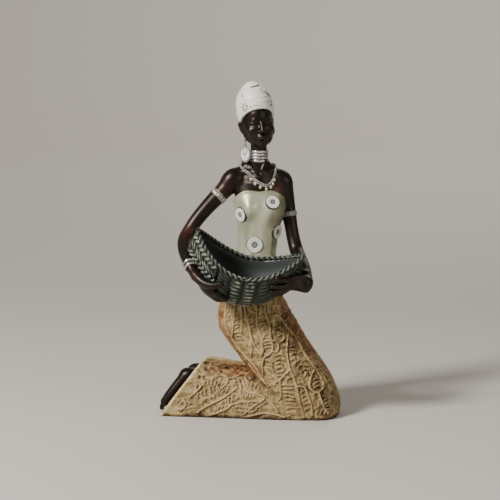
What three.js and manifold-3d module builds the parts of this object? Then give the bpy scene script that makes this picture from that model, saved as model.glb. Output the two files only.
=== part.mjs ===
// Resin statuette of a kneeling woman who holds a boat-shaped woven basket, about 270 mm tall.
// Millimetres, +Z up. The display side faces -Y and the knees point along +X, turned a little
// to the display side. The origin is under the middle of the piece, on the surface it stands on.
// The figure, her dress, her other jewellery and the basket are one casting in painted resin.
// The earring is a separate metal piece that hangs below the lobe of her right ear.
import * as THREE from "three";
import { mergeVertices } from "three/addons/utils/BufferGeometryUtils.js";
import Module from "manifold-3d";

const wasm = await Module();
wasm.setup();

// Driving dimensions. The working origin lies under the pelvis, and footprint is the middle of the
// whole piece there. Right and left are the woman's own.
const footprint = { midX: -1.1, midY: -9.6 };
const legYaw = THREE.MathUtils.degToRad(10);
const alongLegs = new THREE.Vector3(Math.cos(legYaw), -Math.sin(legYaw), 0);
const acrossLegs = new THREE.Vector3(Math.sin(legYaw), Math.cos(legYaw), 0);
const xAxis = new THREE.Vector3(1, 0, 0);
const yAxis = new THREE.Vector3(0, 1, 0);
const up = new THREE.Vector3(0, 0, 1);

// Each row of a limb: x, y, z, radius.
const rightArm = [
  [-9, 3, 188.6, 7.2],
  [-13.8, 2.2, 190, 8.2],
  [-20.2, 1, 182, 7.1],
  [-28.8, -1.6, 173.6, 6.5],
  [-36, -4.2, 166, 6],
  [-42.7, -6.6, 158.1, 5.7],
  [-48.2, -9, 150.1, 5.5],
  [-51.8, -14, 143.4, 5.7],
  [-52, -24, 138.2, 5.6],
  [-50, -36, 132.4, 5],
  [-46.6, -46, 125.8, 4.2],
  [-42, -50, 118.8, 4.1],
];
const leftArm = [
  [18, 3, 189.5, 7.6],
  [25.6, 2, 189.2, 8],
  [28.6, 2.4, 180, 6.6],
  [30.6, 3, 170, 5.7],
  [31.9, 2.4, 160, 5.6],
  [33.5, 1, 150, 5.3],
  [35.5, -1.4, 140, 5.4],
  [37.8, -6, 132.2, 5.6],
  [40.6, -18, 127.4, 5.3],
  [43.2, -31, 122.6, 4.8],
  [44.7, -41, 118.2, 4.2],
  [45, -48, 114.4, 4.6],
];
const neck = [
  [7.2, 3, 188, 12],
  [7.3, 2.6, 196, 9],
  [7.4, 2, 201, 7.5],
  [7.4, 1.2, 208, 6.8],
  [7, 0.4, 216, 6.5],
  [6.6, 0, 226, 6.8],
];

// Her right hand carries the basket from below, and her left hand wraps its end. A finger leaves its
// knuckle and lies on the basket's wall between from and to, as shares of the way to the basket's tip.
// first, step and climb say how far round the wall each finger lies.
const rightHand = {
  palm: { at: [-32.6, -44.6, 108.4], half: [10.6, 9.6, 5.2], tilt: 44 },
  fingers: { count: 4, from: -0.6, to: -0.14, first: 0.56, step: -0.2, climb: 0, radius: 2.9 },
  knuckle: { first: [-33, -52, 111.4], step: [0, 5, -1.2] },
  thumb: [
    [-42.4, -50, 119, 3.9],
    [-36.4, -54.6, 114.6, 3.8],
    [-29.6, -58, 112.8, 3.3],
    [-22.4, -60, 114.2, 2.6],
  ],
};
const leftHand = {
  palm: { at: [42.8, -50.4, 113], half: [6.6, 5.8, 6.6], tilt: 0 },
  fingers: { count: 4, from: 0.88, to: 0.56, first: 0.76, step: -0.115, climb: 0.22, radius: 2.4 },
  knuckle: { first: [43.4, -53.4, 117.6], step: [0.3, 0.8, -3] },
  thumb: [
    [43.6, -42, 119.4, 3.6],
    [38, -33, 121, 3.2],
    [31, -27.6, 122.4, 2.6],
  ],
};

// Each row of the trunk: z, middle x, middle y, half width, half depth.
const trunk = [
  [108, 4.4, 0, 19, 15],
  [118, 4.7, 0.4, 16.4, 12.8],
  [129, 4.9, 0.6, 15.2, 11.2],
  [138, 5.9, 0.8, 15.2, 10.6],
  [146, 6.5, 1, 15.7, 10.6],
  [154, 7.2, 1.2, 16.8, 11],
  [162, 8.2, 1.4, 19.2, 11.4],
  [170, 8.5, 1.6, 20.4, 11.6],
  [178, 7.8, 2, 20.2, 11],
  [186, 7.3, 2.6, 21, 9.6],
  [192, 7.2, 3, 20.6, 8],
  [196.5, 7, 3, 17, 6.4],
  [201, 7, 2.8, 10.5, 5],
];
const bust = { apart: 19.6, z: 167, reach: 4.6, wide: 7.4, tall: 9 };
const bodice = { proud: 0.9, middleZ: 180.8, backZ: 172, cupTurn: 30, cupSpread: 26, cupRise: 2 };

// Each disc of the bodice: height, turn from the display side in degrees, radius.
const discs = [
  [173, 26, 5.6],
  [162.4, -50, 5.7],
  [138.2, -6, 6.4],
  [148, 64, 5.8],
  [160, 152, 6.2],
  [140, 190, 6.2],
];
const discProud = 0.6;

// Each row of the lap: back outline x and z, front outline x and z, half depth.
const lap = [
  [-10.6, 121, 20.4, 122, 12.8],
  [-15.2, 111, 20.4, 116.6, 15.6],
  [-20.6, 100.6, 20.8, 111, 19],
  [-24.4, 89.6, 22.4, 104.8, 22.6],
  [-25.6, 79.8, 24.8, 98.4, 25.2],
  [-23.8, 69.8, 27.8, 91.4, 27],
  [-18, 60.6, 31.4, 84.8, 28],
  [-7.8, 47.4, 38, 73.8, 29],
  [3.6, 32.6, 47.6, 57.2, 29.4],
  [15, 17.6, 58, 42.4, 29.4],
  [27, 3, 66.8, 29, 28.6],
  [40, -8, 72.4, 16, 27],
  [51, -13, 73.8, 6.6, 24],
  [60, -13, 72, -1, 19],
];
// Each row of the skirt over the lower legs: distance along the legs, height, half width.
const train = [
  [66, 8, 10],
  [60, 19, 22],
  [48, 29, 27.5],
  [28, 35, 29.4],
  [8, 37.6, 30],
  [-12, 39.6, 30.2],
  [-34, 42.6, 30.6],
  [-56, 42.4, 31.4],
  [-86, 39, 32],
];
const hem = { topL: -37.6, topZ: 43, footL: -69, footZ: 0 };

// Each row of a foot: distance along the legs, distance across them, height, radius.
const nearFoot = [
  [-43, -6, 29, 4.6],
  [-49.6, -7, 30, 5.2],
  [-56, -8, 23.4, 5.2],
  [-63, -9, 14.4, 5],
  [-68.6, -9.6, 8, 4.4],
  [-72.6, -10, 4.2, 3],
];
const farFootShift = { along: 3, across: 19 };

// The head is built about its own middle: x to her left, y to the back, z up. Its forms, but not the
// wrap, are enlarged by size.
const head = { x: 6.3, y: 0, z: 233.3, yaw: 14, roll: -6.3, pitch: -6, size: 1.08 };
// The forms of the head: where each ball lies and its half sizes, and the rows of the nose. A form
// with a place to one side stands on both.
const skull = { at: [0, 2.6, 3], half: [12.2, 14, 13.2] };
const forehead = { at: [0, -2, 8], half: [9.5, 10.2, 9] };
const jaw = { at: [0, -2.8, -3.4], half: [10.6, 10.2, 12.6] };
const nose = [
  [0, -11.4, 2.4, 1],
  [0, -12.6, -1.8, 1.3],
  [0, -12.9, -4.8, 1.9],
];
const middleForms = [
  { at: [0, -11.3, -8.5], half: [3.3, 1.9, 1] },
  { at: [0, -11.1, -10.1], half: [2.9, 1.9, 1.1] },
  { at: [0, -9.2, -13.2], half: [3.4, 2.6, 2.8] },
];
const sideForms = [
  { at: [1.7, -12.2, -5], half: [1.4, 1.6, 1.2] },
  { at: [4.6, -9.9, 0.2], half: [2.6, 2.2, 1.5] },
  { at: [4.9, -9.5, 3.4], half: [3.6, 2.4, 1] },
  { at: [12, 2.2, 0.8], half: [1.3, 2.9, 3.4] },
  { at: [10.9, -0.7, -4.4], half: [1.6, 1.8, 2.9] },
];
// Each row of the head wrap: height, half width, half depth, shift to the back. Its lower edge falls
// from the forehead to the nape.
const wrapRows = [
  [-8, 12, 14, 1.8],
  [-2, 12.9, 15.2, 2],
  [4.4, 14, 16.5, 2.1],
  [10, 14.8, 17, 2.5],
  [16, 14.8, 16.8, 3],
  [21.8, 13.8, 15.6, 3.3],
  [27, 11.7, 13, 3.4],
  [31.8, 8, 8.9, 3.4],
  [35.5, 3.3, 3.7, 3.4],
];
const wrapEdge = { frontZ: 12.9, fall: 19.7, power: 1.1 };

const choker = { x: 7.3, y: 1.2, low: 204, high: 213.8, bands: 4, radius: 7.7, groove: 0.6 };
// Bands round the arms: share of the arm where each lies, half its width as a share, and its height.
const rightArmBands = [
  { at: 0.238, half: 0.021, proud: 0.9 },
  { at: 0.884, half: 0.009, proud: 1 },
  { at: 0.908, half: 0.009, proud: 1 },
];
const leftArmBands = [{ at: 0.345, half: 0.019, proud: 0.9 }];
// The necklace hangs from both sides of the neck to a low point on the breastbone.
const necklace = { halfWide: 14.5, topZ: 199.4, lowZ: 184.6, lowX: 12.4, midX: 6.4, radius: 1 };
const nape = { x: 7.3, y: 2.8, z: 200.8, halfWide: 11, halfDeep: 8.6 };
const pendants = { count: 7, from: 0.26, to: 0.82, below: 2.2, half: [1.4, 1.2, 2] };

// The basket: tips of its rim, and its size.
const basket = {
  leftTip: [-41.6, -45, 154.6],
  rightTip: [42, -47, 134],
  half: 21.5,
  sheer: 22,
  depth: 30,
  endDepth: 15,
  endBulge: 0.1,
  wall: 2.6,
  rope: 1.8,
  forwardTilt: 17,
  stakes: 9,
  ribs: 6,
};

const earring = { x: -3.8, y: -4.2, topZ: 223.9, middleZ: 210.6, halfWide: 3.9, halfTall: 6.2, wire: 0.55 };

const looks = {
  resin: { color: 0x2a201c, roughness: 0.38, metalness: 0 },
  silver: { color: 0xc9c6bd, roughness: 0.3, metalness: 1 },
};

// The columns of the given rows as smooth curves, read at a share from 0 to 1.
function rowReader(rows) {
  const curves = rows[0].map((_, column) => {
    const points = rows.map((row) => new THREE.Vector3(row[column], 0, 0));
    return new THREE.CatmullRomCurve3(points, false, "catmullrom", 0.5);
  });
  return (share) => curves.map((curve) => curve.getPoint(share).x);
}

function smoothRows(rows, count) {
  const read = rowReader(rows);
  return Array.from({ length: count }, (_, i) => read(i / (count - 1)));
}

// A closed skin over rings of equally many points, with a fan over each end.
function skin(rings) {
  const sides = rings[0].length;
  const points = rings.flat();
  const faces = [];
  const last = rings.length - 1;
  for (let i = 0; i < last; i++) {
    for (let j = 0; j < sides; j++) {
      const a = i * sides + j;
      const b = i * sides + ((j + 1) % sides);
      faces.push(a, b, b + sides, a, b + sides, a + sides);
    }
  }
  for (const [ring, flip] of [
    [0, true],
    [last, false],
  ]) {
    const middle = points.length;
    const sum = new THREE.Vector3();
    rings[ring].forEach((p) => sum.add(p));
    points.push(sum.divideScalar(sides));
    for (let j = 0; j < sides; j++) {
      const a = ring * sides + j;
      const b = ring * sides + ((j + 1) % sides);
      faces.push(middle, flip ? b : a, flip ? a : b);
    }
  }
  const geometry = new THREE.BufferGeometry().setFromPoints(points);
  geometry.setIndex(faces);
  return geometry;
}

// A closed geometry as a solid that can be joined and cut, turned right side out.
function solid(geometry) {
  const bare = geometry.clone();
  bare.deleteAttribute("normal");
  bare.deleteAttribute("uv");
  const merged = mergeVertices(bare, 1e-4);
  const vertProperties = new Float32Array(merged.attributes.position.array);
  let triVerts = new Uint32Array(merged.index.array);
  const corner = (i) => new THREE.Vector3().fromArray(vertProperties, 3 * triVerts[i]);
  let sixVolumes = 0;
  for (let i = 0; i < triVerts.length; i += 3) {
    sixVolumes += corner(i).dot(corner(i + 1).cross(corner(i + 2)));
  }
  if (sixVolumes < 0) triVerts = triVerts.map((_, i) => triVerts[i - (i % 3) + 2 - (i % 3)]);
  return new wasm.Manifold(new wasm.Mesh({ numProp: 3, vertProperties, triVerts }));
}

const joined = (parts) => wasm.Manifold.union(parts);

// A point of an oval about middle, in the plane of the directions a and b, turned by degrees from a.
// A power under 1 makes the oval fuller at its corners.
function ovalPoint(middle, a, b, halfA, halfB, degrees, power = 1) {
  const c = Math.cos(THREE.MathUtils.degToRad(degrees));
  const s = Math.sin(THREE.MathUtils.degToRad(degrees));
  return middle
    .clone()
    .addScaledVector(a, halfA * Math.sign(c) * Math.abs(c) ** power)
    .addScaledVector(b, halfB * Math.sign(s) * Math.abs(s) ** power);
}

function oval(middle, a, b, halfA, halfB, sides, power = 1) {
  return Array.from({ length: sides }, (_, j) =>
    ovalPoint(middle, a, b, halfA, halfB, (360 * j) / sides, power),
  );
}

// A tapering limb: round rings square to its path, carried along without twist, with domed ends.
// Each band round it stands at a share of its length, and takes half a share to either side.
function limb(rows, sides, count, bands = [], place = (p) => p) {
  const read = rowReader(rows);
  const shares = Array.from({ length: count }, (_, i) => [i / (count - 1), 0]);
  for (const { at, half, proud } of bands) {
    shares.push([at - half, 0], [at - half + 0.001, proud], [at + half - 0.001, proud], [at + half, 0]);
  }
  const inBand = ([share, proud]) => !proud && bands.some(({ at, half }) => Math.abs(share - at) < half - 0.0001);
  const kept = shares.filter((pair) => !inBand(pair)).sort((a, b) => a[0] - b[0]);
  const spot = (share) => place(new THREE.Vector3(...read(Math.min(1, Math.max(0, share))).slice(0, 3)));
  const rings = [];
  let side = new THREE.Vector3(0, 1, 0.01);
  kept.forEach(([share, proud], i) => {
    const middle = spot(share);
    const ahead = spot(share + 0.01).sub(spot(share - 0.01)).normalize();
    side = side.clone().addScaledVector(ahead, -side.dot(ahead)).normalize();
    const other = new THREE.Vector3().crossVectors(ahead, side);
    const radius = read(share)[3] + proud;
    const dome = (angle, way) => {
      const centre = middle.clone().addScaledVector(ahead, way * radius * Math.sin(angle));
      const shrunk = radius * Math.cos(angle);
      return oval(centre, side, other, shrunk, shrunk, sides);
    };
    if (i === 0) rings.push(dome(1.1, -1));
    rings.push(dome(0, 1));
    if (i === kept.length - 1) rings.push(dome(0.95, 1));
  });
  return solid(skin(rings));
}

// A ball stretched to three half sizes, tipped about the Y axis by tilt degrees.
function ball(at, half, around = 10, high = 6, tilt = 0) {
  const geometry = new THREE.SphereGeometry(1, around, high);
  geometry.rotateX(Math.PI / 2).scale(...half);
  geometry.rotateY(THREE.MathUtils.degToRad(tilt)).translate(...at);
  return solid(geometry);
}

// A round bar along a path of points.
function bar(points, radius, sides, steps) {
  const shape = new THREE.Shape(oval(new THREE.Vector3(), xAxis, yAxis, radius, radius, sides));
  const extrudePath = new THREE.CatmullRomCurve3(points, false, "catmullrom", 0.5);
  return solid(new THREE.ExtrudeGeometry(shape, { steps, bevelEnabled: false, extrudePath }));
}

function onLegs(p) {
  return new THREE.Vector3()
    .addScaledVector(alongLegs, p.x)
    .addScaledVector(acrossLegs, p.y)
    .addScaledVector(up, p.z);
}

// The outline of the lap square to the thighs, between its back and its front: a point for a turn.
function lapRing([backX, backZ, frontX, frontZ, deep], proud) {
  const back = onLegs(new THREE.Vector3(backX, 0, backZ));
  const front = onLegs(new THREE.Vector3(frontX, 0, frontZ));
  const forward = front.clone().sub(back);
  const half = forward.length() / 2;
  const middle = back.add(front).multiplyScalar(0.5);
  forward.normalize();
  return (turn) => ovalPoint(middle, forward, acrossLegs, half + proud, deep + proud, turn, 0.95);
}

// The outline of the skirt over the lower legs, arched over a flat foot: a point for a turn.
function trainRing([along, high, half], proud) {
  return (turn) => {
    const c = Math.cos(THREE.MathUtils.degToRad(turn));
    const s = Math.max(0, Math.sin(THREE.MathUtils.degToRad(turn)));
    const across = (half + proud) * Math.sign(c) * Math.abs(c) ** 0.8;
    return onLegs(new THREE.Vector3(along, across, (high + proud) * s ** 0.9));
  };
}

// A large block beyond the hem's slanted plane.
function beyondHem() {
  const slope = Math.atan2(hem.topZ - hem.footZ, hem.topL - hem.footL);
  const side = 200;
  const geometry = new THREE.BoxGeometry(side, side, side);
  geometry.translate(0, 0, side / 2).rotateY(-slope);
  geometry.translate((hem.topL + hem.footL) / 2, 0, (hem.topZ + hem.footZ) / 2);
  return solid(geometry.applyMatrix4(new THREE.Matrix4().makeBasis(alongLegs, acrossLegs, up)));
}

// The long raised veins of the skirt: how many run down each part, how far they sway in degrees,
// and how high and wide they stand.
const lapVeins = { count: 8, sway: 9, waves: 1.3, high: 1.5, halfWide: 3.4 };
const trainVeins = { count: 5, sway: 5, waves: 1.1, high: 1.5, halfWide: 3 };
// Side veins that branch off between them: the surface, then shares down it and turns round it.
const sideVeins = [
  ["lap", [0.44, -66], [0.54, -80], [0.66, -92]],
  ["lap", [0.5, -98], [0.62, -76], [0.78, -62]],
  ["train", [0.5, 150], [0.6, 128], [0.74, 120]],
];
const sideVeinRadius = 1.1;

// Turns round a ring where its points stand: each vein has a crest with a foot on either side, and
// a point half way to the next one.
function veinedTurns({ count, halfWide }, sweep) {
  const gap = sweep / count;
  const turns = [];
  for (let i = 0; i < count; i++) {
    const crest = gap * (i + 0.5);
    turns.push([crest - gap / 2, 0], [crest - halfWide, 0], [crest, 1], [crest + halfWide, 0]);
  }
  return turns;
}

// How far a vein has swayed, and how high it stands, at a share of the way down.
function veinState({ sway, waves, high }, share, index) {
  const fade = Math.min(1, 6 * share * (1 - share));
  return { shift: sway * Math.sin(2 * Math.PI * waves * share + 2.4 * index) * fade, high: high * fade };
}

function veinedLapRing(row, share) {
  return veinedTurns(lapVeins, 360).map(([turn, crest], k) => {
    const state = veinState(lapVeins, share, Math.floor(k / 4));
    return lapRing(row, crest * state.high)(turn + state.shift);
  });
}

function veinedTrainRing(row, share) {
  const turns = [[0, 0], ...veinedTurns(trainVeins, 180).slice(1), [180, 0]];
  return turns.map(([turn, crest], k) => {
    const state = veinState(trainVeins, share, Math.floor(k / 4));
    const shift = turn > 0 && turn < 180 ? state.shift : 0;
    return trainRing(row, crest * state.high)(turn + shift);
  });
}

function sideVeinSolids() {
  const [lapAt, trainAt] = [lap, train].map(rowReader);
  const steps = 5;
  return sideVeins.map(([surface, ...ends]) => {
    const points = smoothRows(ends, steps + 1).map(([share, turn]) =>
      surface === "lap" ? lapRing(lapAt(share), 0)(turn) : trainRing(trainAt(share), 0)(turn),
    );
    return bar(points, sideVeinRadius, 4, steps);
  });
}

// Rings made by shape from count smoothed rows.
const ringsOf = (rows, count, shape) => smoothRows(rows, count).map((row, i) => shape(row, i / (count - 1)));

function skirt() {
  const lapSolid = solid(skin(ringsOf(lap, 12, veinedLapRing)));
  const trainSolid = solid(skin(ringsOf(train, 9, veinedTrainRing)));
  return joined([lapSolid, trainSolid.subtract(beyondHem()), ...sideVeinSolids()]);
}

function feet() {
  const shifted = ([along, across, high, radius]) => [
    along + farFootShift.along,
    across + farFootShift.across,
    high,
    radius,
  ];
  return [nearFoot, nearFoot.map(shifted)].map((rows) => limb(rows, 7, 6, [], onLegs));
}

// The row of a smooth stack at a height, by halving. Its first column is the height.
function atHeight(rows) {
  const read = rowReader(rows);
  return (height) => {
    let [low, high] = [0, 1];
    for (let i = 0; i < 24; i++) {
      const share = (low + high) / 2;
      if (read(share)[0] < height) low = share;
      else high = share;
    }
    return read(low);
  };
}

// A point of the trunk at height z and a turn from the display side. The bust swells its front.
const trunkAt = atHeight(trunk);
function trunkPoint(z, turn, proud) {
  const [, x, y, wide, deep] = trunkAt(z);
  const middle = new THREE.Vector3(x, y, z);
  const p = ovalPoint(middle, xAxis, yAxis, wide + proud, deep + proud, turn - 90, 0.93);
  const level = Math.exp(-(((z - bust.z) / bust.tall) ** 2));
  const front = Math.max(0, (y - p.y) / deep);
  const lobe = (side) => Math.exp(-(((p.x - x - (side * bust.apart) / 2) / bust.wide) ** 2));
  return p.setY(p.y - bust.reach * level * Math.sqrt(front) * (lobe(-1) + lobe(1)));
}

// The top edge of the strapless bodice: two cups with a dip between them, and lower at the back.
function bodiceEdge(turn) {
  const c = Math.cos(THREE.MathUtils.degToRad(turn));
  const cups = Math.exp(-(((Math.abs(turn) - bodice.cupTurn) / bodice.cupSpread) ** 2));
  return bodice.backZ + (bodice.middleZ - bodice.backZ) * Math.max(0, c) ** 0.7 + bodice.cupRise * cups;
}

// The trunk as one skin: the bodice stands proud of the body up to its edge.
function trunkSolid() {
  const sides = 18;
  const turns = Array.from({ length: sides }, (_, j) => (360 * j) / sides - 180);
  const ring = (z, proud, warp) =>
    turns.map((turn) => trunkPoint(z + warp * (bodiceEdge(turn) - bodice.middleZ), turn, proud));
  const clothed = [108, 117, 126, 135, 143, 150, 157, 163, 169, 175.6];
  const bare = [186.6, 190.6, 194.4, 197.6, 200.8];
  return solid(
    skin([
      ...clothed.map((z, i) => ring(z, bodice.proud, (i / clothed.length) ** 3)),
      ring(bodice.middleZ, bodice.proud, 1),
      ring(bodice.middleZ + 0.1, 0, 1),
      ...bare.map((z, i) => ring(z, 0, i ? 0 : 0.4)),
    ]),
  );
}

// The discs on the bodice, each square to the cloth under it, with a sunken middle.
function bodiceDiscs() {
  return discs.map(([z, turn, radius]) => {
    const here = trunkPoint(z, turn, bodice.proud);
    const along = trunkPoint(z, turn + 5, bodice.proud).sub(trunkPoint(z, turn - 5, bodice.proud));
    const upwards = trunkPoint(z + 2, turn, bodice.proud).sub(trunkPoint(z - 2, turn, bodice.proud));
    const profile = [
      [0, -1.6],
      [radius, -1.6],
      [radius, discProud],
      [0.42 * radius, discProud],
      [0.36 * radius, discProud / 3],
      [0, discProud / 3],
    ].map(([r, h]) => new THREE.Vector2(r, h));
    const turnUp = new THREE.Quaternion().setFromUnitVectors(yAxis, along.cross(upwards).normalize());
    const place = new THREE.Matrix4().compose(here, turnUp, new THREE.Vector3(1, 1, 1));
    return solid(new THREE.LatheGeometry(profile, 9).applyMatrix4(place));
  });
}

const headPlace = new THREE.Matrix4()
  .makeRotationZ(THREE.MathUtils.degToRad(head.yaw))
  .multiply(new THREE.Matrix4().makeRotationY(THREE.MathUtils.degToRad(head.roll)))
  .multiply(new THREE.Matrix4().makeRotationX(THREE.MathUtils.degToRad(head.pitch)))
  .setPosition(head.x, head.y, head.z);

// The head with a plain face: eyes at half height, the nose to the lower quarter.
function headSolid() {
  const small = ({ at, half }, side = 1) => ball([side * at[0], at[1], at[2]], half, 6, 4);
  const parts = [
    ball(skull.at, skull.half, 12, 7),
    ball(forehead.at, forehead.half, 10, 6),
    ball(jaw.at, jaw.half, 12, 8),
    limb(nose, 6, 3),
    ...middleForms.map((form) => small(form)),
    ...sideForms.flatMap((form) => [small(form), small(form, -1)]),
  ];
  const enlarged = headPlace.clone().scale(new THREE.Vector3(head.size, head.size, head.size));
  return joined(parts).transform(enlarged.elements);
}

// The head wrap: an egg-shaped crown above its slanting edge.
function headWrap() {
  const rowAt = atHeight(wrapRows);
  const topZ = wrapRows.at(-1)[0];
  const round = oval(new THREE.Vector3(), xAxis, yAxis, 1, 1, 18);
  const rings = Array.from({ length: 8 }, (_, i) =>
    round.map((p) => {
      const edge = wrapEdge.frontZ - wrapEdge.fall * ((1 + p.y) / 2) ** wrapEdge.power;
      const [z, wide, deep, back] = rowAt(edge + ((topZ - edge) * i) / 7);
      return new THREE.Vector3(wide * p.x, back + deep * p.y, z);
    }),
  );
  return solid(skin(rings)).transform(headPlace.elements);
}

// The neck with the stack of bands round it, as one skin.
function neckSolid() {
  const neckAt = rowReader(neck);
  const ringAt = (z, radius, x, y) => oval(new THREE.Vector3(x, y, z), xAxis, yAxis, radius, radius, 12);
  const plain = (share) => {
    const [x, y, z, radius] = neckAt(share);
    return ringAt(z, radius, x, y);
  };
  const rings = [0, 0.12, 0.24, 0.36].map(plain);
  const steps = 2 * choker.bands;
  for (let i = 0; i <= steps; i++) {
    const z = choker.low + ((choker.high - choker.low) * i) / steps;
    rings.push(ringAt(z, choker.radius - (i % 2 ? 0 : choker.groove), choker.x, choker.y));
  }
  rings.push(plain(0.7), plain(1));
  return solid(skin(rings));
}

// A point on the front of the chest at x and z, by bisecting the turn.
function onChest(x, z) {
  let [low, high] = [-88, 88];
  for (let i = 0; i < 20; i++) {
    const turn = (low + high) / 2;
    if (trunkPoint(z, turn, 0).x < x) low = turn;
    else high = turn;
  }
  return trunkPoint(z, low, 0);
}

// The bead chain as one bar on the chest and round the nape, with its pendants below the low part.
function neckChain() {
  const { halfWide, topZ, lowZ, lowX, midX, radius } = necklace;
  const drape = (share) => {
    const side = 2 * share - 1;
    const x = midX + halfWide * side + (lowX - midX) * (1 - side * side);
    const z = lowZ + (topZ - lowZ) * Math.abs(side) ** 1.9;
    return onChest(x, z);
  };
  const front = Array.from({ length: 13 }, (_, i) => drape(i / 12));
  const middle = new THREE.Vector3(nape.x, nape.y, nape.z);
  const back = oval(middle, xAxis, yAxis, nape.halfWide, nape.halfDeep, 12).slice(1, 6);
  const hung = Array.from({ length: pendants.count }, (_, i) => {
    const p = drape(pendants.from + ((pendants.to - pendants.from) * i) / (pendants.count - 1));
    return ball([p.x, p.y - 0.6, p.z - pendants.below], pendants.half, 4, 3);
  });
  return [bar([...front, ...back, front[0]], radius, 4, 20), ...hung];
}

// The basket's own frame: x from tip to tip, y to the back wall, z square to the opening.
const basketFrame = (() => {
  const left = new THREE.Vector3(...basket.leftTip);
  const right = new THREE.Vector3(...basket.rightTip);
  const x = right.clone().sub(left);
  const long = x.length();
  x.normalize();
  const tilt = THREE.MathUtils.degToRad(basket.forwardTilt);
  const y = new THREE.Vector3(0, Math.cos(tilt), Math.sin(tilt));
  y.addScaledVector(x, -y.dot(x)).normalize();
  const z = new THREE.Vector3().crossVectors(x, y);
  const middle = left.clone().add(right).multiplyScalar(0.5);
  return { long, matrix: new THREE.Matrix4().makeBasis(x, y, z).setPosition(middle) };
})();

// A point of the bowl: u runs from tip to tip, v from the back rim (-1) round below to the front (1),
// and grow moves it outwards. The rim sags between the tips and the ends bulge below them.
function basketPoint(u, v, grow) {
  const half = basketFrame.long / 2;
  const open = (1 - Math.abs(u) ** 2.6) ** 0.8;
  const wide = basket.half * open + 1 + grow;
  const rim = -basket.sheer * (1 - Math.abs(u) ** 1.9);
  const deep = basket.endDepth + (basket.depth - basket.endDepth) * open ** 0.7 + grow;
  const swing = (v * Math.PI) / 2;
  const c = Math.max(0, Math.cos(swing));
  const s = Math.sin(swing);
  const x = half * u * (1 + basket.endBulge * Math.abs(u) ** 5 * c);
  const y = -wide * Math.sign(s) * Math.abs(s) ** 0.75;
  return new THREE.Vector3(x, y, rim - deep * c ** 0.8);
}

// The bowl with the twisted rope of its rim. The outer wall swells at each stake and each rib, and
// the rope swells and sinks from one ring to the next.
function basketSolid() {
  const stakeSteps = 4;
  const along = basket.stakes * stakeSteps;
  const outer = 2 * basket.ribs;
  const inner = 6;
  const rings = [];
  for (let i = 0; i <= along; i++) {
    const u = (2 * i) / along - 1;
    const stake = Math.abs(Math.sin((Math.PI * i) / stakeSteps)) ** 0.5;
    const ring = [];
    for (let j = 0; j <= outer; j++) {
      const rib = j % 2 ? 0.5 : -0.1;
      ring.push(basketPoint(u * 0.985, (2 * j) / outer - 1, -0.9 + (0.9 + rib) * stake));
    }
    const rope = (side) =>
      [-20, 75, 170].map((turn, k) => {
        const strand = (i + k) % 2 ? 1.25 : 0.85;
        const radians = THREE.MathUtils.degToRad(turn);
        const p = basketPoint(u * 0.99, side, -basket.wall / 2);
        p.y -= side * basket.rope * strand * Math.cos(radians);
        p.z += basket.rope * strand * Math.sin(radians) + 0.4;
        return p;
      });
    ring.push(...rope(1));
    for (let j = inner; j >= 0; j--) {
      ring.push(basketPoint(u * 0.92, ((2 * j) / inner - 1) * 0.97, -basket.wall));
    }
    ring.push(...rope(-1).reverse());
    rings.push(ring.map((p) => p.applyMatrix4(basketFrame.matrix)));
  }
  return solid(skin(rings));
}

// A finger from its knuckle along the basket's wall, tapering to its tip.
function finger(knuckle, fingers, index, to) {
  const { from, first, step, climb, radius } = fingers;
  const onWall = [0, 0.5, 1].map((share) => {
    const thick = radius * (1 - 0.18 * share);
    const v = Math.min(1, first + index * step + climb * share);
    const p = basketPoint(from + (to - from) * share, v, 0.6 * thick).applyMatrix4(basketFrame.matrix);
    return [p.x, p.y, p.z, thick];
  });
  const start = knuckle.first.map((value, axis) => value + index * knuckle.step[axis]);
  return limb([[...start, radius], ...onWall], 5, 6);
}

function hand({ palm, fingers, knuckle, thumb }) {
  const middle = (fingers.count - 1) / 2;
  const parts = Array.from({ length: fingers.count }, (_, i) => {
    const shorter = 0.04 * Math.abs(i - middle) * Math.sign(fingers.from);
    return finger(knuckle, fingers, i, fingers.to + shorter);
  });
  return [...parts, ball(palm.at, palm.half, 10, 6, palm.tilt), limb(thumb, 6, 5)];
}

// The earring: an oval hoop round a crescent plate, on a link below the lobe.
function earringSolid() {
  const { x, y, topZ, middleZ, halfWide, halfTall, wire } = earring;
  const hoop = new THREE.TorusGeometry(1, wire / halfTall, 5, 16);
  hoop.scale(halfWide, halfTall, halfTall).rotateX(Math.PI / 2).translate(x, y, middleZ);
  const plate = new THREE.Shape();
  plate.absellipse(0, 0, halfWide, halfTall, Math.PI, 2 * Math.PI, false, 0);
  plate.quadraticCurveTo(0, -0.5 * halfTall, -halfWide, 0);
  const thick = 2 * wire * 0.8;
  const crescent = new THREE.ExtrudeGeometry(plate, { depth: thick, bevelEnabled: false, curveSegments: 6 });
  crescent.translate(0, 0, -thick / 2).rotateX(Math.PI / 2).translate(x, y, middleZ);
  const link = new THREE.CylinderGeometry(wire, wire, topZ - middleZ - halfTall, 6);
  link.rotateX(Math.PI / 2).translate(x, y, (topZ + middleZ + halfTall) / 2);
  return joined([hoop, crescent, link].map(solid));
}

function meshOf(manifold, name, look) {
  const mesh = manifold.getMesh();
  const position = new Float32Array(mesh.numVert * 3);
  for (let i = 0; i < mesh.numVert; i++) {
    position.set(mesh.vertProperties.subarray(i * mesh.numProp, i * mesh.numProp + 3), i * 3);
  }
  const geometry = new THREE.BufferGeometry();
  geometry.setAttribute("position", new THREE.BufferAttribute(position, 3));
  geometry.setIndex(new THREE.BufferAttribute(mesh.triVerts, 1));
  geometry.computeVertexNormals();
  const made = new THREE.Mesh(geometry, new THREE.MeshStandardMaterial(look));
  made.name = name;
  return made;
}

// A solid without the small pockets that are closed in between its joined shapes.
function filled(manifold) {
  const speck = 1;
  return wasm.Manifold.compose(manifold.decompose().filter((shell) => shell.volume() > speck));
}

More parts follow.
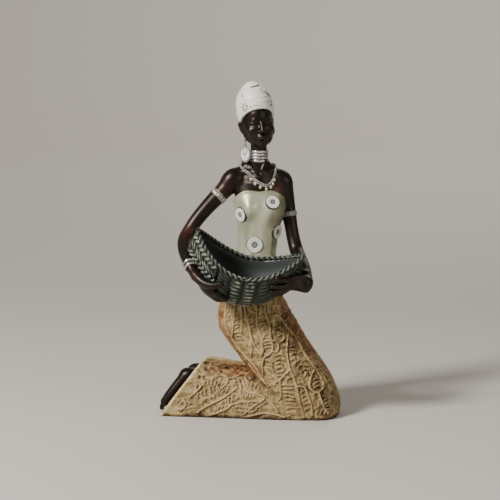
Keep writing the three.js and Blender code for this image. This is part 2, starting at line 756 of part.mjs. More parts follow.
const ground = new THREE.BoxGeometry(400, 400, 100).translate(0, 0, -50);
const parts = [
  skirt(),
  ...feet(),
  trunkSolid(),
  ...bodiceDiscs(),
  limb(rightArm, 8, 15, rightArmBands),
  limb(leftArm, 8, 15, leftArmBands),
  ...hand(rightHand),
  ...hand(leftHand),
  neckSolid(),
  ...neckChain(),
  headSolid(),
  headWrap(),
  basketSolid(),
];
const casting = filled(joined(parts).subtract(solid(ground)));

const statuette = new THREE.Group();
statuette.add(meshOf(casting, "statuette", looks.resin), meshOf(earringSolid(), "earring", looks.silver));
statuette.position.set(-footprint.midX, -footprint.midY, 0);
statuette.updateMatrixWorld(true);

export default statuette;
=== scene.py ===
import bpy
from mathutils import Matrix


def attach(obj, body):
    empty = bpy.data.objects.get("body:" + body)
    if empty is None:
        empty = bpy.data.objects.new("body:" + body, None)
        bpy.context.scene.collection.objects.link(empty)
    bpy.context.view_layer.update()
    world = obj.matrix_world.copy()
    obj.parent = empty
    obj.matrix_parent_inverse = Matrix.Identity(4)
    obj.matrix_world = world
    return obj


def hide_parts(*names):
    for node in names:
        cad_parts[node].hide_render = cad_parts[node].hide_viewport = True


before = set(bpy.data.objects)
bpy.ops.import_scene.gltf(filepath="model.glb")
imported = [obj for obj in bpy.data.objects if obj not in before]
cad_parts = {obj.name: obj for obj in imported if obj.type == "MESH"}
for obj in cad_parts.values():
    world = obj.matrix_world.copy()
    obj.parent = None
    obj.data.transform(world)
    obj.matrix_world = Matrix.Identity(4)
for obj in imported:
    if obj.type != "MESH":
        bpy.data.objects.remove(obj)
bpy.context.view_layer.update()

import bpy
import numpy as np
from mathutils import Vector

# All lengths below are in millimetres, about a working origin under the pelvis: x to image right,
# y away from the display side, z up. toRow moves them to the row frame.
toRow = np.array([1.1, 9.6, 0.0])
# The skirt and the feet are modelled along x. Their points @ legAxes are turned by legYaw about z,
# clockwise as seen from above.
legYaw = np.radians(10)
legAxes = np.array([[np.cos(legYaw), -np.sin(legYaw), 0], [np.sin(legYaw), np.cos(legYaw), 0], [0, 0, 1]])


# Smooth rows: a Catmull-Rom curve through the rows, read at shares from 0 to 1.
def smoothRows(rows, shares):
    rows = np.asarray(rows, float)
    padded = np.vstack([2 * rows[0] - rows[1], rows, 2 * rows[-1] - rows[-2]])
    at = np.clip(np.asarray(shares, float), 0, 1) * (len(rows) - 1)
    i = np.minimum(at.astype(int), len(rows) - 2)
    t = (at - i)[..., None]
    a, b, c, d = (padded[i + k] for k in range(4))
    return b + 0.5 * t * (c - a + t * (2 * a - 5 * b + 4 * c - d + t * (3 * (b - c) + d - a)))


# A ramp from 0 to 1 between two edges, level at both ends.
def ramp(low, high, value):
    t = np.clip((value - low) / (high - low), 0, 1)
    return t * t * (3 - 2 * t)


# Lattice noise from -1 to 1: random corner values, mixed smoothly across each cell.
def lumps(points, size, seed):
    table = np.random.default_rng(seed).uniform(-1, 1, (32, 32, 32))
    place = points / size
    cell = np.floor(place).astype(int)
    t = place - cell
    t = t * t * (3 - 2 * t)
    total = np.zeros(len(points))
    for corner in np.ndindex(2, 2, 2):
        share = np.prod(np.where(corner, t, 1 - t), axis=1)
        i, j, k = ((cell + corner) % 32).T
        total += share * table[i, j, k]
    return total


# Power that keeps the sign.
def signedPower(value, power):
    return np.sign(value) * np.abs(value) ** power


# How far out a place lies in a rounded box of half sizes 1: (|a|^p + |b|^p)^(1/p).
def outness(a, b, power):
    return (np.abs(a) ** power + np.abs(b) ** power) ** (1 / power)


# Vectors over their lengths.
def unit(vectors):
    return vectors / np.maximum(np.linalg.norm(vectors, axis=-1, keepdims=True), 1e-12)


# Places on a circle or an oval: cos(angle) times a plus sin(angle) times b.
def circle(angle, a, b):
    return np.cos(angle)[..., None] * a + np.sin(angle)[..., None] * b


# Angles in even steps once round.
def onceRound(count):
    return np.linspace(0, 2 * np.pi, count, endpoint=False)


# A turn by three angles in degrees, about x, then y, then z.
def turned(angles):
    a, b, c = np.radians(angles)
    aroundX = np.array([[1, 0, 0], [0, np.cos(a), -np.sin(a)], [0, np.sin(a), np.cos(a)]])
    aroundY = np.array([[np.cos(b), 0, np.sin(b)], [0, 1, 0], [-np.sin(b), 0, np.cos(b)]])
    aroundZ = np.array([[np.cos(c), -np.sin(c), 0], [np.sin(c), np.cos(c), 0], [0, 0, 1]])
    return aroundZ @ aroundY @ aroundX


# Faces of a grid of points, rows by columns; either way round it may close on itself. Each face
# takes a point, the next in its row, and the two beside them in the next row.
def gridFaces(rows, columns, closeRows=False, closeColumns=True):
    rowCount = rows if closeRows else rows - 1
    columnCount = columns if closeColumns else columns - 1
    i, j = np.meshgrid(np.arange(rowCount), np.arange(columnCount), indexing="ij")
    i, j = i.ravel(), j.ravel()
    ni, nj = (i + 1) % rows, (j + 1) % columns
    return np.stack([i * columns + j, i * columns + nj, ni * columns + nj, ni * columns + j], 1)


# A grid surface with closed columns. A fan of triangles round the mean point covers each open end.
def tubeOf(grid, tone=0.0):
    rows, columns = grid.shape[:2]
    tones = np.broadcast_to(tone, (rows, columns)).ravel()
    j = np.arange(columns)
    nj = (j + 1) % columns
    start, last = rows * columns, (rows - 1) * columns
    startFan = np.stack([np.full(columns, start), nj, j], 1)
    endFan = np.stack([np.full(columns, start + 1), last + j, last + nj], 1)
    return {
        "points": np.vstack([grid.reshape(-1, 3), grid[0].mean(0), grid[-1].mean(0)]),
        "faces": [gridFaces(rows, columns), startFan, endFan],
        "tones": np.append(tones, [tones[0], tones[-1]]),
    }


# A ring surface: rows and columns both close on themselves.
def ringOf(grid, tone=0.0):
    rows, columns = grid.shape[:2]
    return {
        "points": grid.reshape(-1, 3),
        "faces": [gridFaces(rows, columns, closeRows=True)],
        "tones": np.broadcast_to(tone, (rows, columns)).ravel(),
    }


# A surface net as a shape of unpainted points.
def netOf(points, quads):
    return {"points": points, "faces": [quads], "tones": np.zeros(len(points))}


# Several shapes as one: points stacked, and each shape's faces moved on by the points before it.
def together(shapes):
    offsets = np.cumsum([0] + [len(s["points"]) for s in shapes[:-1]])
    return {
        "points": np.vstack([s["points"] for s in shapes]),
        "faces": [f + o for s, o in zip(shapes, offsets) for f in s["faces"]],
        "tones": np.concatenate([s["tones"] for s in shapes]),
    }


# Six times the volume of a shape; below 0 its faces point inwards.
def sixVolumes(shape):
    p = shape["points"]
    total = 0.0
    for f in shape["faces"]:
        for k in range(1, f.shape[1] - 1):
            total += np.einsum("ij,ij->", p[f[:, 0]], np.cross(p[f[:, k]], p[f[:, k + 1]]))
    return total


# Faces out: each shape is turned right side out on its own.
def facedOut(shape):
    if sixVolumes(shape) < 0:
        shape["faces"] = [f[:, ::-1] for f in shape["faces"]]
    return shape


# Puts a shape into the scene as one smooth piece that stands for a CAD node. Its points go to
# metres in the row frame, and their paint values to the attributes tone and tintAndShade.
def makePiece(name, shape, material, node="statuette"):
    mesh = bpy.data.meshes.new(name)
    points = (shape["points"] + toRow) * 0.001
    mesh.vertices.add(len(points))
    mesh.vertices.foreach_set("co", points.astype(np.float32).ravel())
    corners = np.concatenate([f.ravel() for f in shape["faces"]]).astype(np.int32)
    sizes = np.concatenate([np.full(len(f), f.shape[1]) for f in shape["faces"]])
    mesh.loops.add(len(corners))
    mesh.loops.foreach_set("vertex_index", corners)
    mesh.polygons.add(len(sizes))
    mesh.polygons.foreach_set("loop_start", (np.cumsum(sizes) - sizes).astype(np.int32))
    mesh.update(calc_edges=True)
    mesh.polygons.foreach_set("use_smooth", np.ones(len(sizes), bool))
    for key, values in (("tone", shape["tones"]), ("tintAndShade", shape.get("tintAndShade", np.zeros(len(points))))):
        mesh.attributes.new(key, "FLOAT", "POINT").data.foreach_set("value", values.astype(np.float32))
    mesh.materials.append(material)
    piece = bpy.data.objects.new(name, mesh)
    bpy.context.collection.objects.link(piece)
    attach(piece, "root")
    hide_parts(node)
    print(f"{name}: {len(sizes)} faces, {int((sizes - 2).sum())} triangles")


# Reads how far forward a surface comes at x and z: the lowest y of its points in each cell of a
# table, spread into the empty cells and read between them by nearness.
def frontOf(points):
    step, empty, passes = 0.8, 99.0, 4
    low = points[:, [0, 2]].min(0) - passes * step
    i, j = ((points[:, [0, 2]] - low) / step).astype(int).T
    table = np.full((i.max() + passes + 1, j.max() + passes + 1), empty)
    np.minimum.at(table, (i, j), points[:, 1])
    shifts = [(a, b) for a in (-1, 0, 1) for b in (-1, 0, 1)]
    for _ in range(passes):
        near = np.min([np.roll(table, shift, (0, 1)) for shift in shifts], axis=0)
        table = np.where(table == empty, near, table)

    def read(x, z):  # between the middles of four cells, by nearness
        u, v = (np.asarray(x) - low[0]) / step - 0.5, (np.asarray(z) - low[1]) / step - 0.5
        a = np.clip(u.astype(int), 0, table.shape[0] - 2)
        b = np.clip(v.astype(int), 0, table.shape[1] - 2)
        s, t = np.clip(u - a, 0, 1), np.clip(v - b, 0, 1)
        near = (1 - t) * table[a, b] + t * table[a, b + 1]
        far = (1 - t) * table[a + 1, b] + t * table[a + 1, b + 1]
        return (1 - s) * near + s * far

    return read


# The distance of points to a chain of short straight pieces, where it is under reach.
def toChain(points, spots, reach):
    gap = np.full(len(points), 99.0)
    keep = np.flatnonzero(((points > spots.min(0) - reach) & (points < spots.max(0) + reach)).all(1))
    near = points[keep]
    best = np.full(len(keep), 99.0)
    for a, b in zip(spots[:-1], spots[1:]):
        along = b - a
        t = np.clip((near - a) @ along / max(along @ along, 1e-9), 0, 1)
        best = np.minimum(best, np.linalg.norm(near - a - t[:, None] * along, axis=1))
    gap[keep] = best
    return gap


# Vertex normals: the sum of the normals of the faces round each vertex.
def normalsOf(points, quads):
    a, b, c, d = (points[quads[:, k]] for k in range(4))
    flat = np.cross(c - a, d - b)
    total = np.zeros_like(points)
    for axis in range(3):
        for k in range(4):
            total[:, axis] += np.bincount(quads[:, k], flat[:, axis], len(points))
    return unit(total)


# Relaxed points: each moves by a share towards the mean of its neighbours, then back by a bit more,
# which takes out the steps of the grid and keeps the size.
def relaxed(points, quads, passes):
    near = np.concatenate([quads[:, [0, 1]], quads[:, [1, 2]], quads[:, [2, 3]], quads[:, [3, 0]]])
    near = np.concatenate([near, near[:, ::-1]])
    count = np.maximum(np.bincount(near[:, 0], minlength=len(points)), 1)
    for step in [0.5, -0.53] * passes:
        mean = np.stack([np.bincount(near[:, 0], points[near[:, 1], k], len(points)) for k in range(3)], 1)
        points = points + step * (mean / count[:, None] - points)
    return points


# A field of distances on a grid. Forms are blended into it, and its zero surface is the sculpture.
def newField(low, high, step):
    low = np.asarray(low, float)
    counts = np.ceil((np.asarray(high) - low) / step).astype(int) + 1
    return {"low": low, "step": step, "values": np.full(counts, 6.0, np.float32)}


# The part of a field between two corners, and its coordinates.
def window(field, low, high):
    step, shape = field["step"], field["values"].shape
    first = np.clip(np.floor((low - field["low"]) / step).astype(int), 0, shape)
    last = np.clip(np.ceil((high - field["low"]) / step).astype(int) + 1, first, shape)
    x, y, z = ((field["low"][k] + step * np.arange(first[k], last[k])).astype(np.float32) for k in range(3))
    cut = tuple(slice(a, b) for a, b in zip(first, last))
    return cut, x[:, None, None], y[None, :, None], z[None, None, :]


# The whole field, and its coordinates.
def wholeOf(field):
    return window(field, field["low"], field["low"] + field["step"] * np.array(field["values"].shape))


# The smaller of two distances, rounded over where they are within soft of each other.
def softMin(a, b, soft):
    if soft <= 0:
        return np.minimum(a, b)
    share = np.clip(0.5 + 0.5 * (b - a) / soft, 0, 1)
    return b + (a - b) * share - soft * share * (1 - share)


# Blends a distance into part of a field by the soft minimum. To carve it out instead, the field's
# signs are turned for the blend and turned back.
def blendIn(field, cut, distance, soft, carve=False):
    old = field["values"][cut]
    field["values"][cut] = -softMin(-old, distance, soft) if carve else softMin(old, distance, soft)


# A ball stretched to three half sizes. Its distance is near (near - 1) / slope, with near the
# length of the place over the half sizes, and slope its length over their squares.
def addBall(field, at, half, soft, tilt=(0, 0, 0), carve=False):
    at, half = np.asarray(at, float), np.asarray(half, float)
    reach = half.max() + 2 + soft
    cut, x, y, z = window(field, at - reach, at + reach)
    turn = turned(tilt)
    place = [turn[0, k] * (x - at[0]) + turn[1, k] * (y - at[1]) + turn[2, k] * (z - at[2]) for k in range(3)]
    near = np.sqrt(sum((p / h) ** 2 for p, h in zip(place, half)))
    slope = np.sqrt(sum((p / h**2) ** 2 for p, h in zip(place, half)))
    blendIn(field, cut, near * (near - 1) / np.maximum(slope, 1e-6), soft, carve)


# A limb: a chain of round cones along smoothed rows of x, y, z, radius. The distance to a cone is
# the distance to its axis, less the radius at the nearest place on the axis.
def addLimb(field, rows, soft, steps=6, carve=False):
    rows = smoothRows(rows, np.linspace(0, 1, steps * (len(rows) - 1) + 1))
    margin = rows[:, 3:].max() + 2 + soft
    cut, x, y, z = window(field, rows[:, :3].min(0) - margin, rows[:, :3].max(0) + margin)
    own = np.full((x.shape[0], y.shape[1], z.shape[2]), 6.0, np.float32)
    corner = np.array([x[0, 0, 0], y[0, 0, 0], z[0, 0, 0]], float)
    local = {"low": corner, "step": field["step"], "values": own}
    for a, b in zip(rows[:-1], rows[1:]):
        part, px, py, pz = window(local, np.minimum(a, b)[:3] - margin, np.maximum(a, b)[:3] + margin)
        along = b[:3] - a[:3]
        length = max(along @ along, 1e-9)
        dx, dy, dz = px - a[0], py - a[1], pz - a[2]
        t = np.clip((dx * along[0] + dy * along[1] + dz * along[2]) / length, 0, 1)
        gap = (dx - t * along[0]) ** 2 + (dy - t * along[1]) ** 2 + (dz - t * along[2]) ** 2
        own[part] = np.minimum(own[part], np.sqrt(gap) - a[3] - t * (b[3] - a[3]))
    blendIn(field, cut, own, soft, carve)


# Surface nets: one point in each cell that the zero surface crosses, at the mean of the crossings
# of its edges, and one quad for each lattice edge that it crosses. Only the largest part stays.
def surfaceOf(field, passes):
    values, step = field["values"], field["step"]
    for axis in range(3):
        edge = [slice(None)] * 3
        for side in (0, -1):
            edge[axis] = side
            values[tuple(edge)] = np.maximum(values[tuple(edge)], 0.01)
    inside = values < 0
    cells = np.array(values.shape) - 1
    corners = list(np.ndindex(2, 2, 2))

    def at(array, corner):  # the values at one corner of every cell
        return array[tuple(slice(c, c + n) for c, n in zip(corner, cells))]

    count = sum(at(inside, corner).astype(np.int8) for corner in corners)
    active = (count > 0) & (count < 8)
    where = np.argwhere(active)
    index = np.full(active.shape, -1, np.int32)
    index[active] = np.arange(len(where))
    total, hits = np.zeros((len(where), 3)), np.zeros(len(where))
    for corner in corners:
        for axis in range(3):
            if corner[axis]:
                continue
            other = tuple(1 if k == axis else corner[k] for k in range(3))
            va, vb = at(values, corner)[active], at(values, other)[active]
            crossed = (va < 0) != (vb < 0)
            spot = np.tile(np.array(corner, float), (len(where), 1))
            spot[:, axis] = np.where(crossed, va / np.where(crossed, va - vb, 1), 0)
            total += spot * crossed[:, None]
            hits += crossed
    points = field["low"] + step * (where + total / hits[:, None])
    quads = []
    for axis in range(3):
        u, v = (axis + 1) % 3, (axis + 2) % 3
        near = [None] * 3
        near[axis], near[u], near[v] = slice(0, cells[axis]), slice(1, cells[u]), slice(1, cells[v])
        far = list(near)
        far[axis] = slice(1, cells[axis] + 1)
        a, b = inside[tuple(near)], inside[tuple(far)]
        edge = np.argwhere(a != b)
        flip = b[a != b]
        edge[:, u] += 1
        edge[:, v] += 1
        ring = []
        for du, dv in ((0, 0), (1, 0), (1, 1), (0, 1)):
            cell = edge.copy()
            cell[:, u] -= du
            cell[:, v] -= dv
            ring.append(index[cell[:, 0], cell[:, 1], cell[:, 2]])
        quad = np.stack(ring, 1)
        quad[flip] = quad[flip][:, ::-1]
        quads.append(quad)
    quads = np.vstack(quads)
    return largestPart(relaxed(points, quads, passes), quads)


# Keeps the largest connected part of a surface, by spreading the lowest label over the edges.
def largestPart(points, quads):
    label = np.arange(len(points))
    while True:
        low = label[quads].min(1)
        new = label.copy()
        for k in range(4):
            np.minimum.at(new, quads[:, k], low)
        new = new[new]
        if (new == label).all():
            break
        label = new
    main = np.bincount(label).argmax()
    keep = label == main
    number = np.cumsum(keep) - 1
    return points[keep], number[quads[keep[quads[:, 0]]]]


# Materials. Each is a principled surface. Noise mixes its two colours, and over them go the paints
# that its look names, each by its share at the point.
def makeMaterial(name, look):
    material = bpy.data.materials.new(name)
    material.use_nodes = True
    nodes, links = material.node_tree.nodes, material.node_tree.links
    surface = nodes["Principled BSDF"]
    place = nodes.new("ShaderNodeTexCoord").outputs["Object"]
    coatRoughness, bumpDistance = 0.25, 0.0002

    def attribute(key):  # a value that the points of the mesh carry
        node = nodes.new("ShaderNodeAttribute")
        node.attribute_name = key
        return node.outputs["Fac"]

    def noise(scale, detail=3.0):  # noise about 0.5, over the object's own coordinates
        node = nodes.new("ShaderNodeTexNoise")
        node.inputs["Scale"].default_value = scale
        node.inputs["Detail"].default_value = detail
        links.new(place, node.inputs["Vector"])
        return node.outputs["Fac"]

    def remap(value, low, high, toLow=0.0, toHigh=1.0):  # from low..high to toLow..toHigh
        node = nodes.new("ShaderNodeMapRange")
        for key, limit in {"From Min": low, "From Max": high, "To Min": toLow, "To Max": toHigh}.items():
            node.inputs[key].default_value = limit
        links.new(value, node.inputs["Value"])
        return node.outputs["Result"]

    def mixed(share, first, second):  # first at share 0, second at share 1
        node = nodes.new("ShaderNodeMix")
        node.data_type = "RGBA"
        links.new(share, node.inputs["Factor"])
        for value, socket in ((first, node.inputs["A"]), (second, node.inputs["B"])):
            if isinstance(value, tuple):
                socket.default_value = (*value, 1)
            else:
                links.new(value, socket)
        return node.outputs["Result"]

    colour = mixed(remap(noise(look["noiseScale"]), 0.35, 0.65), look["colour"], look["second"])
    if "tintAndShade" in look:
        colour = mixed(remap(attribute("tintAndShade"), 0.0, 1.0), colour, look["tintAndShade"])
    for low, high, paint in look["tones"]:
        colour = mixed(remap(attribute("tone"), low, high), colour, paint)
    if "stain" in look:
        colour = mixed(remap(noise(look["stainScale"], 5.0), *look["stainRange"]), colour, look["stain"])
    rough = remap(noise(look["noiseScale"] * 1.7), 0.0, 1.0, *look["roughness"])
    bump = nodes.new("ShaderNodeBump")
    bump.inputs["Strength"].default_value = look["grain"]
    bump.inputs["Distance"].default_value = bumpDistance
    links.new(noise(look["grainScale"], 4.0), bump.inputs["Height"])
    links.new(colour, surface.inputs["Base Color"])
    links.new(rough, surface.inputs["Roughness"])
    links.new(bump.outputs["Normal"], surface.inputs["Normal"])
    surface.inputs["Metallic"].default_value = look["metallic"]
    surface.inputs["Coat Weight"].default_value = look["coat"]
    surface.inputs["Coat Roughness"].default_value = coatRoughness
    surface.inputs["Specular IOR Level"].default_value = look.get("shine", 0.5)
    surface.inputs["Specular Tint"].default_value = (*look.get("glint", (1, 1, 1)), 1)
    return material


# A look: two colours and the size of the noise that mixes them, the paint of tinted places (on the
# bodice a painted shade), paints by tone (where a paint begins, where it is full, its colour), a stain
# in blotches, and the surface.
looks = {
    "skin": {
        "colour": (0.0032, 0.0021, 0.0018), "second": (0.0068, 0.0037, 0.0029), "noiseScale": 26.0,
        "tintAndShade": (0.066, 0.02, 0.011),
        "tones": [], "stain": (0.01, 0.0046, 0.0036), "stainScale": 18.0, "stainRange": (0.56, 0.8),
        "metallic": 0.0, "roughness": (0.3, 0.44), "coat": 0.0, "shine": 0.34, "glint": (1.0, 0.84, 0.73),
        "grain": 0.06, "grainScale": 700.0,
    },
    "skirt": {
        "colour": (0.24, 0.164, 0.067), "second": (0.36, 0.263, 0.12), "noiseScale": 75.0,
        "tintAndShade": (0.19, 0.076, 0.024),
        "tones": [(0.0, 1.0, (0.66, 0.52, 0.3)), (0.0, -1.0, (0.03, 0.017, 0.008))],
        "stain": (0.17, 0.095, 0.036), "stainScale": 34.0, "stainRange": (0.55, 0.85),
        "metallic": 0.0, "roughness": (0.45, 0.68), "coat": 0.0, "shine": 0.3, "glint": (1.0, 0.9, 0.75),
        "grain": 0.55, "grainScale": 900.0,
    },
    "bodice": {
        "colour": (0.55, 0.56, 0.41), "second": (0.33, 0.342, 0.225), "noiseScale": 46.0,
        "tintAndShade": (0.15, 0.145, 0.075),
        "tones": [(0.0, 1.0, (0.09, 0.08, 0.045))],
        "stain": (0.2, 0.2, 0.115), "stainScale": 34.0, "stainRange": (0.6, 0.82),
        "metallic": 0.45, "roughness": (0.33, 0.5), "coat": 0.06, "grain": 0.05, "grainScale": 500.0,
    },
    "discs": {
        "colour": (0.74, 0.74, 0.68), "second": (0.66, 0.66, 0.58), "noiseScale": 60.0,
        "tones": [(0.1, 0.5, (0.07, 0.08, 0.062)), (0.6, 1.0, (0.018, 0.016, 0.011))],
        "metallic": 0.0, "roughness": (0.35, 0.45), "coat": 0.15, "grain": 0.1, "grainScale": 600.0,
    },
    "wrap": {
        "colour": (0.8, 0.8, 0.74), "second": (0.69, 0.69, 0.6), "noiseScale": 55.0,
        "tones": [(0.0, 1.0, (0.07, 0.065, 0.042))],
        "metallic": 0.0, "roughness": (0.34, 0.5), "coat": 0.12, "grain": 0.12, "grainScale": 500.0,
    },
    "basket": {
        "colour": (0.009, 0.0135, 0.0095), "second": (0.017, 0.023, 0.016), "noiseScale": 40.0,
        "tones": [(0.1, 1.0, (0.33, 0.375, 0.275)), (0.0, -1.0, (0.16, 0.175, 0.175))],
        "metallic": 0.0, "roughness": (0.3, 0.48), "coat": 0.03, "shine": 0.4,
        "grain": 0.3, "grainScale": 900.0,
    },
    "silver": {
        "colour": (0.62, 0.61, 0.57), "second": (0.3, 0.29, 0.27), "noiseScale": 260.0,
        "tones": [(0.0, -1.0, (0.014, 0.013, 0.011)), (0.0, 1.0, (0.78, 0.68, 0.46))],
        "metallic": 0.62, "roughness": (0.22, 0.4), "coat": 0.0, "grain": 0.35, "grainScale": 900.0,
    },
    "earring": {
        "colour": (0.95, 0.945, 0.92), "second": (0.88, 0.87, 0.84), "noiseScale": 120.0,
        "tones": [(0.0, -1.0, (0.012, 0.011, 0.009))],
        "metallic": 0.0, "roughness": (0.25, 0.4), "coat": 0.3, "grain": 0.15, "grainScale": 900.0,
    },
}
materials = {name: makeMaterial(name, look) for name, look in looks.items()}

# The trunk under the bodice. Rows: z, middle x, middle y, half width, half depth.
trunk = {
    "rows": [
        [108, 4.4, 0, 19, 15], [118, 4.7, 0.4, 16.4, 12.8], [129, 4.9, 0.6, 15.2, 11.2],
        [138, 5.9, 0.8, 15.2, 10.6], [146, 6.5, 1, 15.7, 10.6], [154, 7.2, 1.2, 16.8, 11],
        [162, 8.2, 1.4, 19.2, 11.4], [170, 8.5, 1.6, 20.4, 11.6], [178, 7.8, 2, 20.2, 11],
        [186, 7.3, 2.6, 21, 9.6], [192, 7.2, 3, 20.6, 8], [196.5, 7, 3, 17, 6.4], [201, 7, 2.8, 10.5, 5],
    ],
    "power": 0.93, "bustApart": 19.6, "bustZ": 167, "bustReach": 4.6, "bustWide": 7.4, "bustTall": 9,
    "bareFrom": 152, "bareTo": 201, "windowFrom": [-20, -24, 150], "windowTo": [36, 20, 206],
}
trunkTable = smoothRows(trunk["rows"], np.linspace(0, 1, 400))


# Middle x and y, half width and half depth at a height, read between the rows.
def trunkAt(z):
    return [np.interp(z, trunkTable[:, 0], trunkTable[:, k]) for k in range(1, 5)]


# How far the bust stands out: a bell over the height times two bells across.
def bustAt(dx, z):
    level = np.exp(-(((z - trunk["bustZ"]) / trunk["bustTall"]) ** 2))
    lobes = sum(np.exp(-(((dx - s * trunk["bustApart"] / 2) / trunk["bustWide"]) ** 2)) for s in (-1, 1))
    return trunk["bustReach"] * level * lobes


# A point of the trunk at a height and a turn in degrees from the display side: an oval whose front
# swells by the bust, less towards the sides.
def trunkPoint(z, turn, proud):
    x, y, wide, deep = trunkAt(z)
    angle = np.radians(turn) - np.pi / 2
    px = x + (wide + proud) * signedPower(np.cos(angle), trunk["power"])
    py = y + (deep + proud) * signedPower(np.sin(angle), trunk["power"])
    front = np.sqrt(np.maximum(0, (y - py) / deep))
    return np.stack(np.broadcast_arrays(px, py - bustAt(px - x, z) * front, z), -1)


# The bare trunk as a field: (outness - 1) times the smaller half width, cut off level at both ends.
# The bust is taken off y first, as trunkPoint adds it.
def addTrunk(field):
    cut, x, y, z = window(field, np.array(trunk["windowFrom"]), np.array(trunk["windowTo"]))
    mx, my, wide, deep = (column.astype(np.float32) for column in trunkAt(z))
    py = y + bustAt(x - mx, z) * np.sqrt(np.clip((my - y) / deep, 0, 1))
    near = outness((x - mx) / wide, (py - my) / deep, 2 / trunk["power"])
    distance = np.maximum((near - 1) * np.minimum(wide, deep), z - trunk["bareTo"])
    blendIn(field, cut, np.maximum(distance, trunk["bareFrom"] - z).astype(np.float32), 0)


# The basket: its two tips, how wide and deep it is, the weave of its outer side (columns of ribs in
# the middle from braidFrom to braidTo, braids at both ends), and the rope on its rim.
basket = {
    "leftTip": [-41.6, -45, 154.6], "rightTip": [42, -47, 134], "half": 21.5, "sheer": 22, "depth": 30,
    "endDepth": 15, "endBulge": 0.1, "wall": 2.6, "forwardTilt": 17,
    "outerReach": 0.985, "innerReach": 0.92, "innerRim": 0.97,
    "columnAt": -0.065, "columnWide": 0.262, "ribPitch": 3.35, "ribHigh": 1.6, "grooveDeep": 2.3,
    "braidFrom": -0.47, "braidTo": 0.54, "braidBlend": 0.03, "braidRow": 6.6, "braidPitch": 4.6,
    "braidLean": 1.15, "braidHigh": 1.6, "weaveLow": -0.85, "weaveSink": 0.6,
    "rope": 1.18, "ropeOff": 0.72, "ropePitch": 9.4, "ropeTurnsAt": 0.06, "ropeUp": 0.5,
    # Where the painted highlight on the strands is strongest, and how wide it spreads.
    "highlightAt": 0.066, "highlightWide": 0.25,
}
leftTip, rightTip = np.array(basket["leftTip"]), np.array(basket["rightTip"])
basketLong = np.linalg.norm(rightTip - leftTip)
basketX = (rightTip - leftTip) / basketLong
tilt = np.radians(basket["forwardTilt"])
basketY = np.array([0, np.cos(tilt), np.sin(tilt)])
basketY = unit(basketY - basketX * (basketY @ basketX))
basketAxes = np.array([basketX, basketY, np.cross(basketX, basketY)])
basketMiddle = (leftTip + rightTip) / 2


# A point of the bowl: u from tip to tip, v from the back rim (-1) round below to the front (1).
# The half width is half times opened = (1 - |u|^2.6)^0.8, the depth grows from endDepth to depth by
# opened^0.7, and the rim sags by sheer (1 - |u|^1.9).
def basketPoint(u, v, grow):
    u, v = np.broadcast_arrays(np.asarray(u, float), np.asarray(v, float))
    opened = (1 - np.abs(u) ** 2.6) ** 0.8
    wide = basket["half"] * opened + 1 + grow
    deep = basket["endDepth"] + (basket["depth"] - basket["endDepth"]) * opened**0.7 + grow
    swing = v * np.pi / 2
    c, s = np.maximum(0, np.cos(swing)), np.sin(swing)
    x = basketLong / 2 * u * (1 + basket["endBulge"] * np.abs(u) ** 5 * c)
    y = -wide * signedPower(s, 0.75)
    z = -basket["sheer"] * (1 - np.abs(u) ** 1.9) - deep * c**0.8
    return np.stack([x, y, z], -1) @ basketAxes + basketMiddle


# Height of the weave over the outer wall at mm along (a) and mm below the front or back rim (b).
# The middle has columns of short ribs, each column a third of a rib off from the next; the ends have
# braids along the rim, whose leaf-shaped strands lean to and fro from one row to the next.
def weave(u, a, b):
    column = (u - basket["columnAt"]) / basket["columnWide"] + 0.5
    across = np.abs((column % 1) - 0.5) * 2
    swell = np.sqrt(np.maximum(0, 1 - across**3))
    ribTurn = b / basket["ribPitch"] + 0.35 * (np.floor(column) % 2) - 0.12 * across**2
    rib = np.abs(np.cos(np.pi * ribTurn)) ** 0.7
    columns = -basket["grooveDeep"] * (1 - swell) + basket["ribHigh"] * rib * swell
    row = np.floor(b / basket["braidRow"])
    inRow = (b / basket["braidRow"] - row) * 2 - 1
    slant = a + np.where(row % 2 == 0, 0.5, -0.5) * basket["braidLean"] * basket["braidRow"] * inRow
    plump = np.sqrt(np.maximum(0, 1 - np.abs(inRow) ** 3))
    off = np.abs((slant / basket["braidPitch"]) % 1 - 0.5) * 2
    leaf = np.sqrt(np.maximum(0, 1 - (off / (0.3 + 0.68 * plump)) ** 2))
    braids = basket["braidHigh"] * leaf * (0.35 + 0.65 * plump) - 0.5 * (1 - plump)
    blend = basket["braidBlend"]
    begun, ended = (ramp(basket[key] - blend, basket[key] + blend, u) for key in ("braidFrom", "braidTo"))
    return braids + (columns - braids) * (begun * (1 - ended))
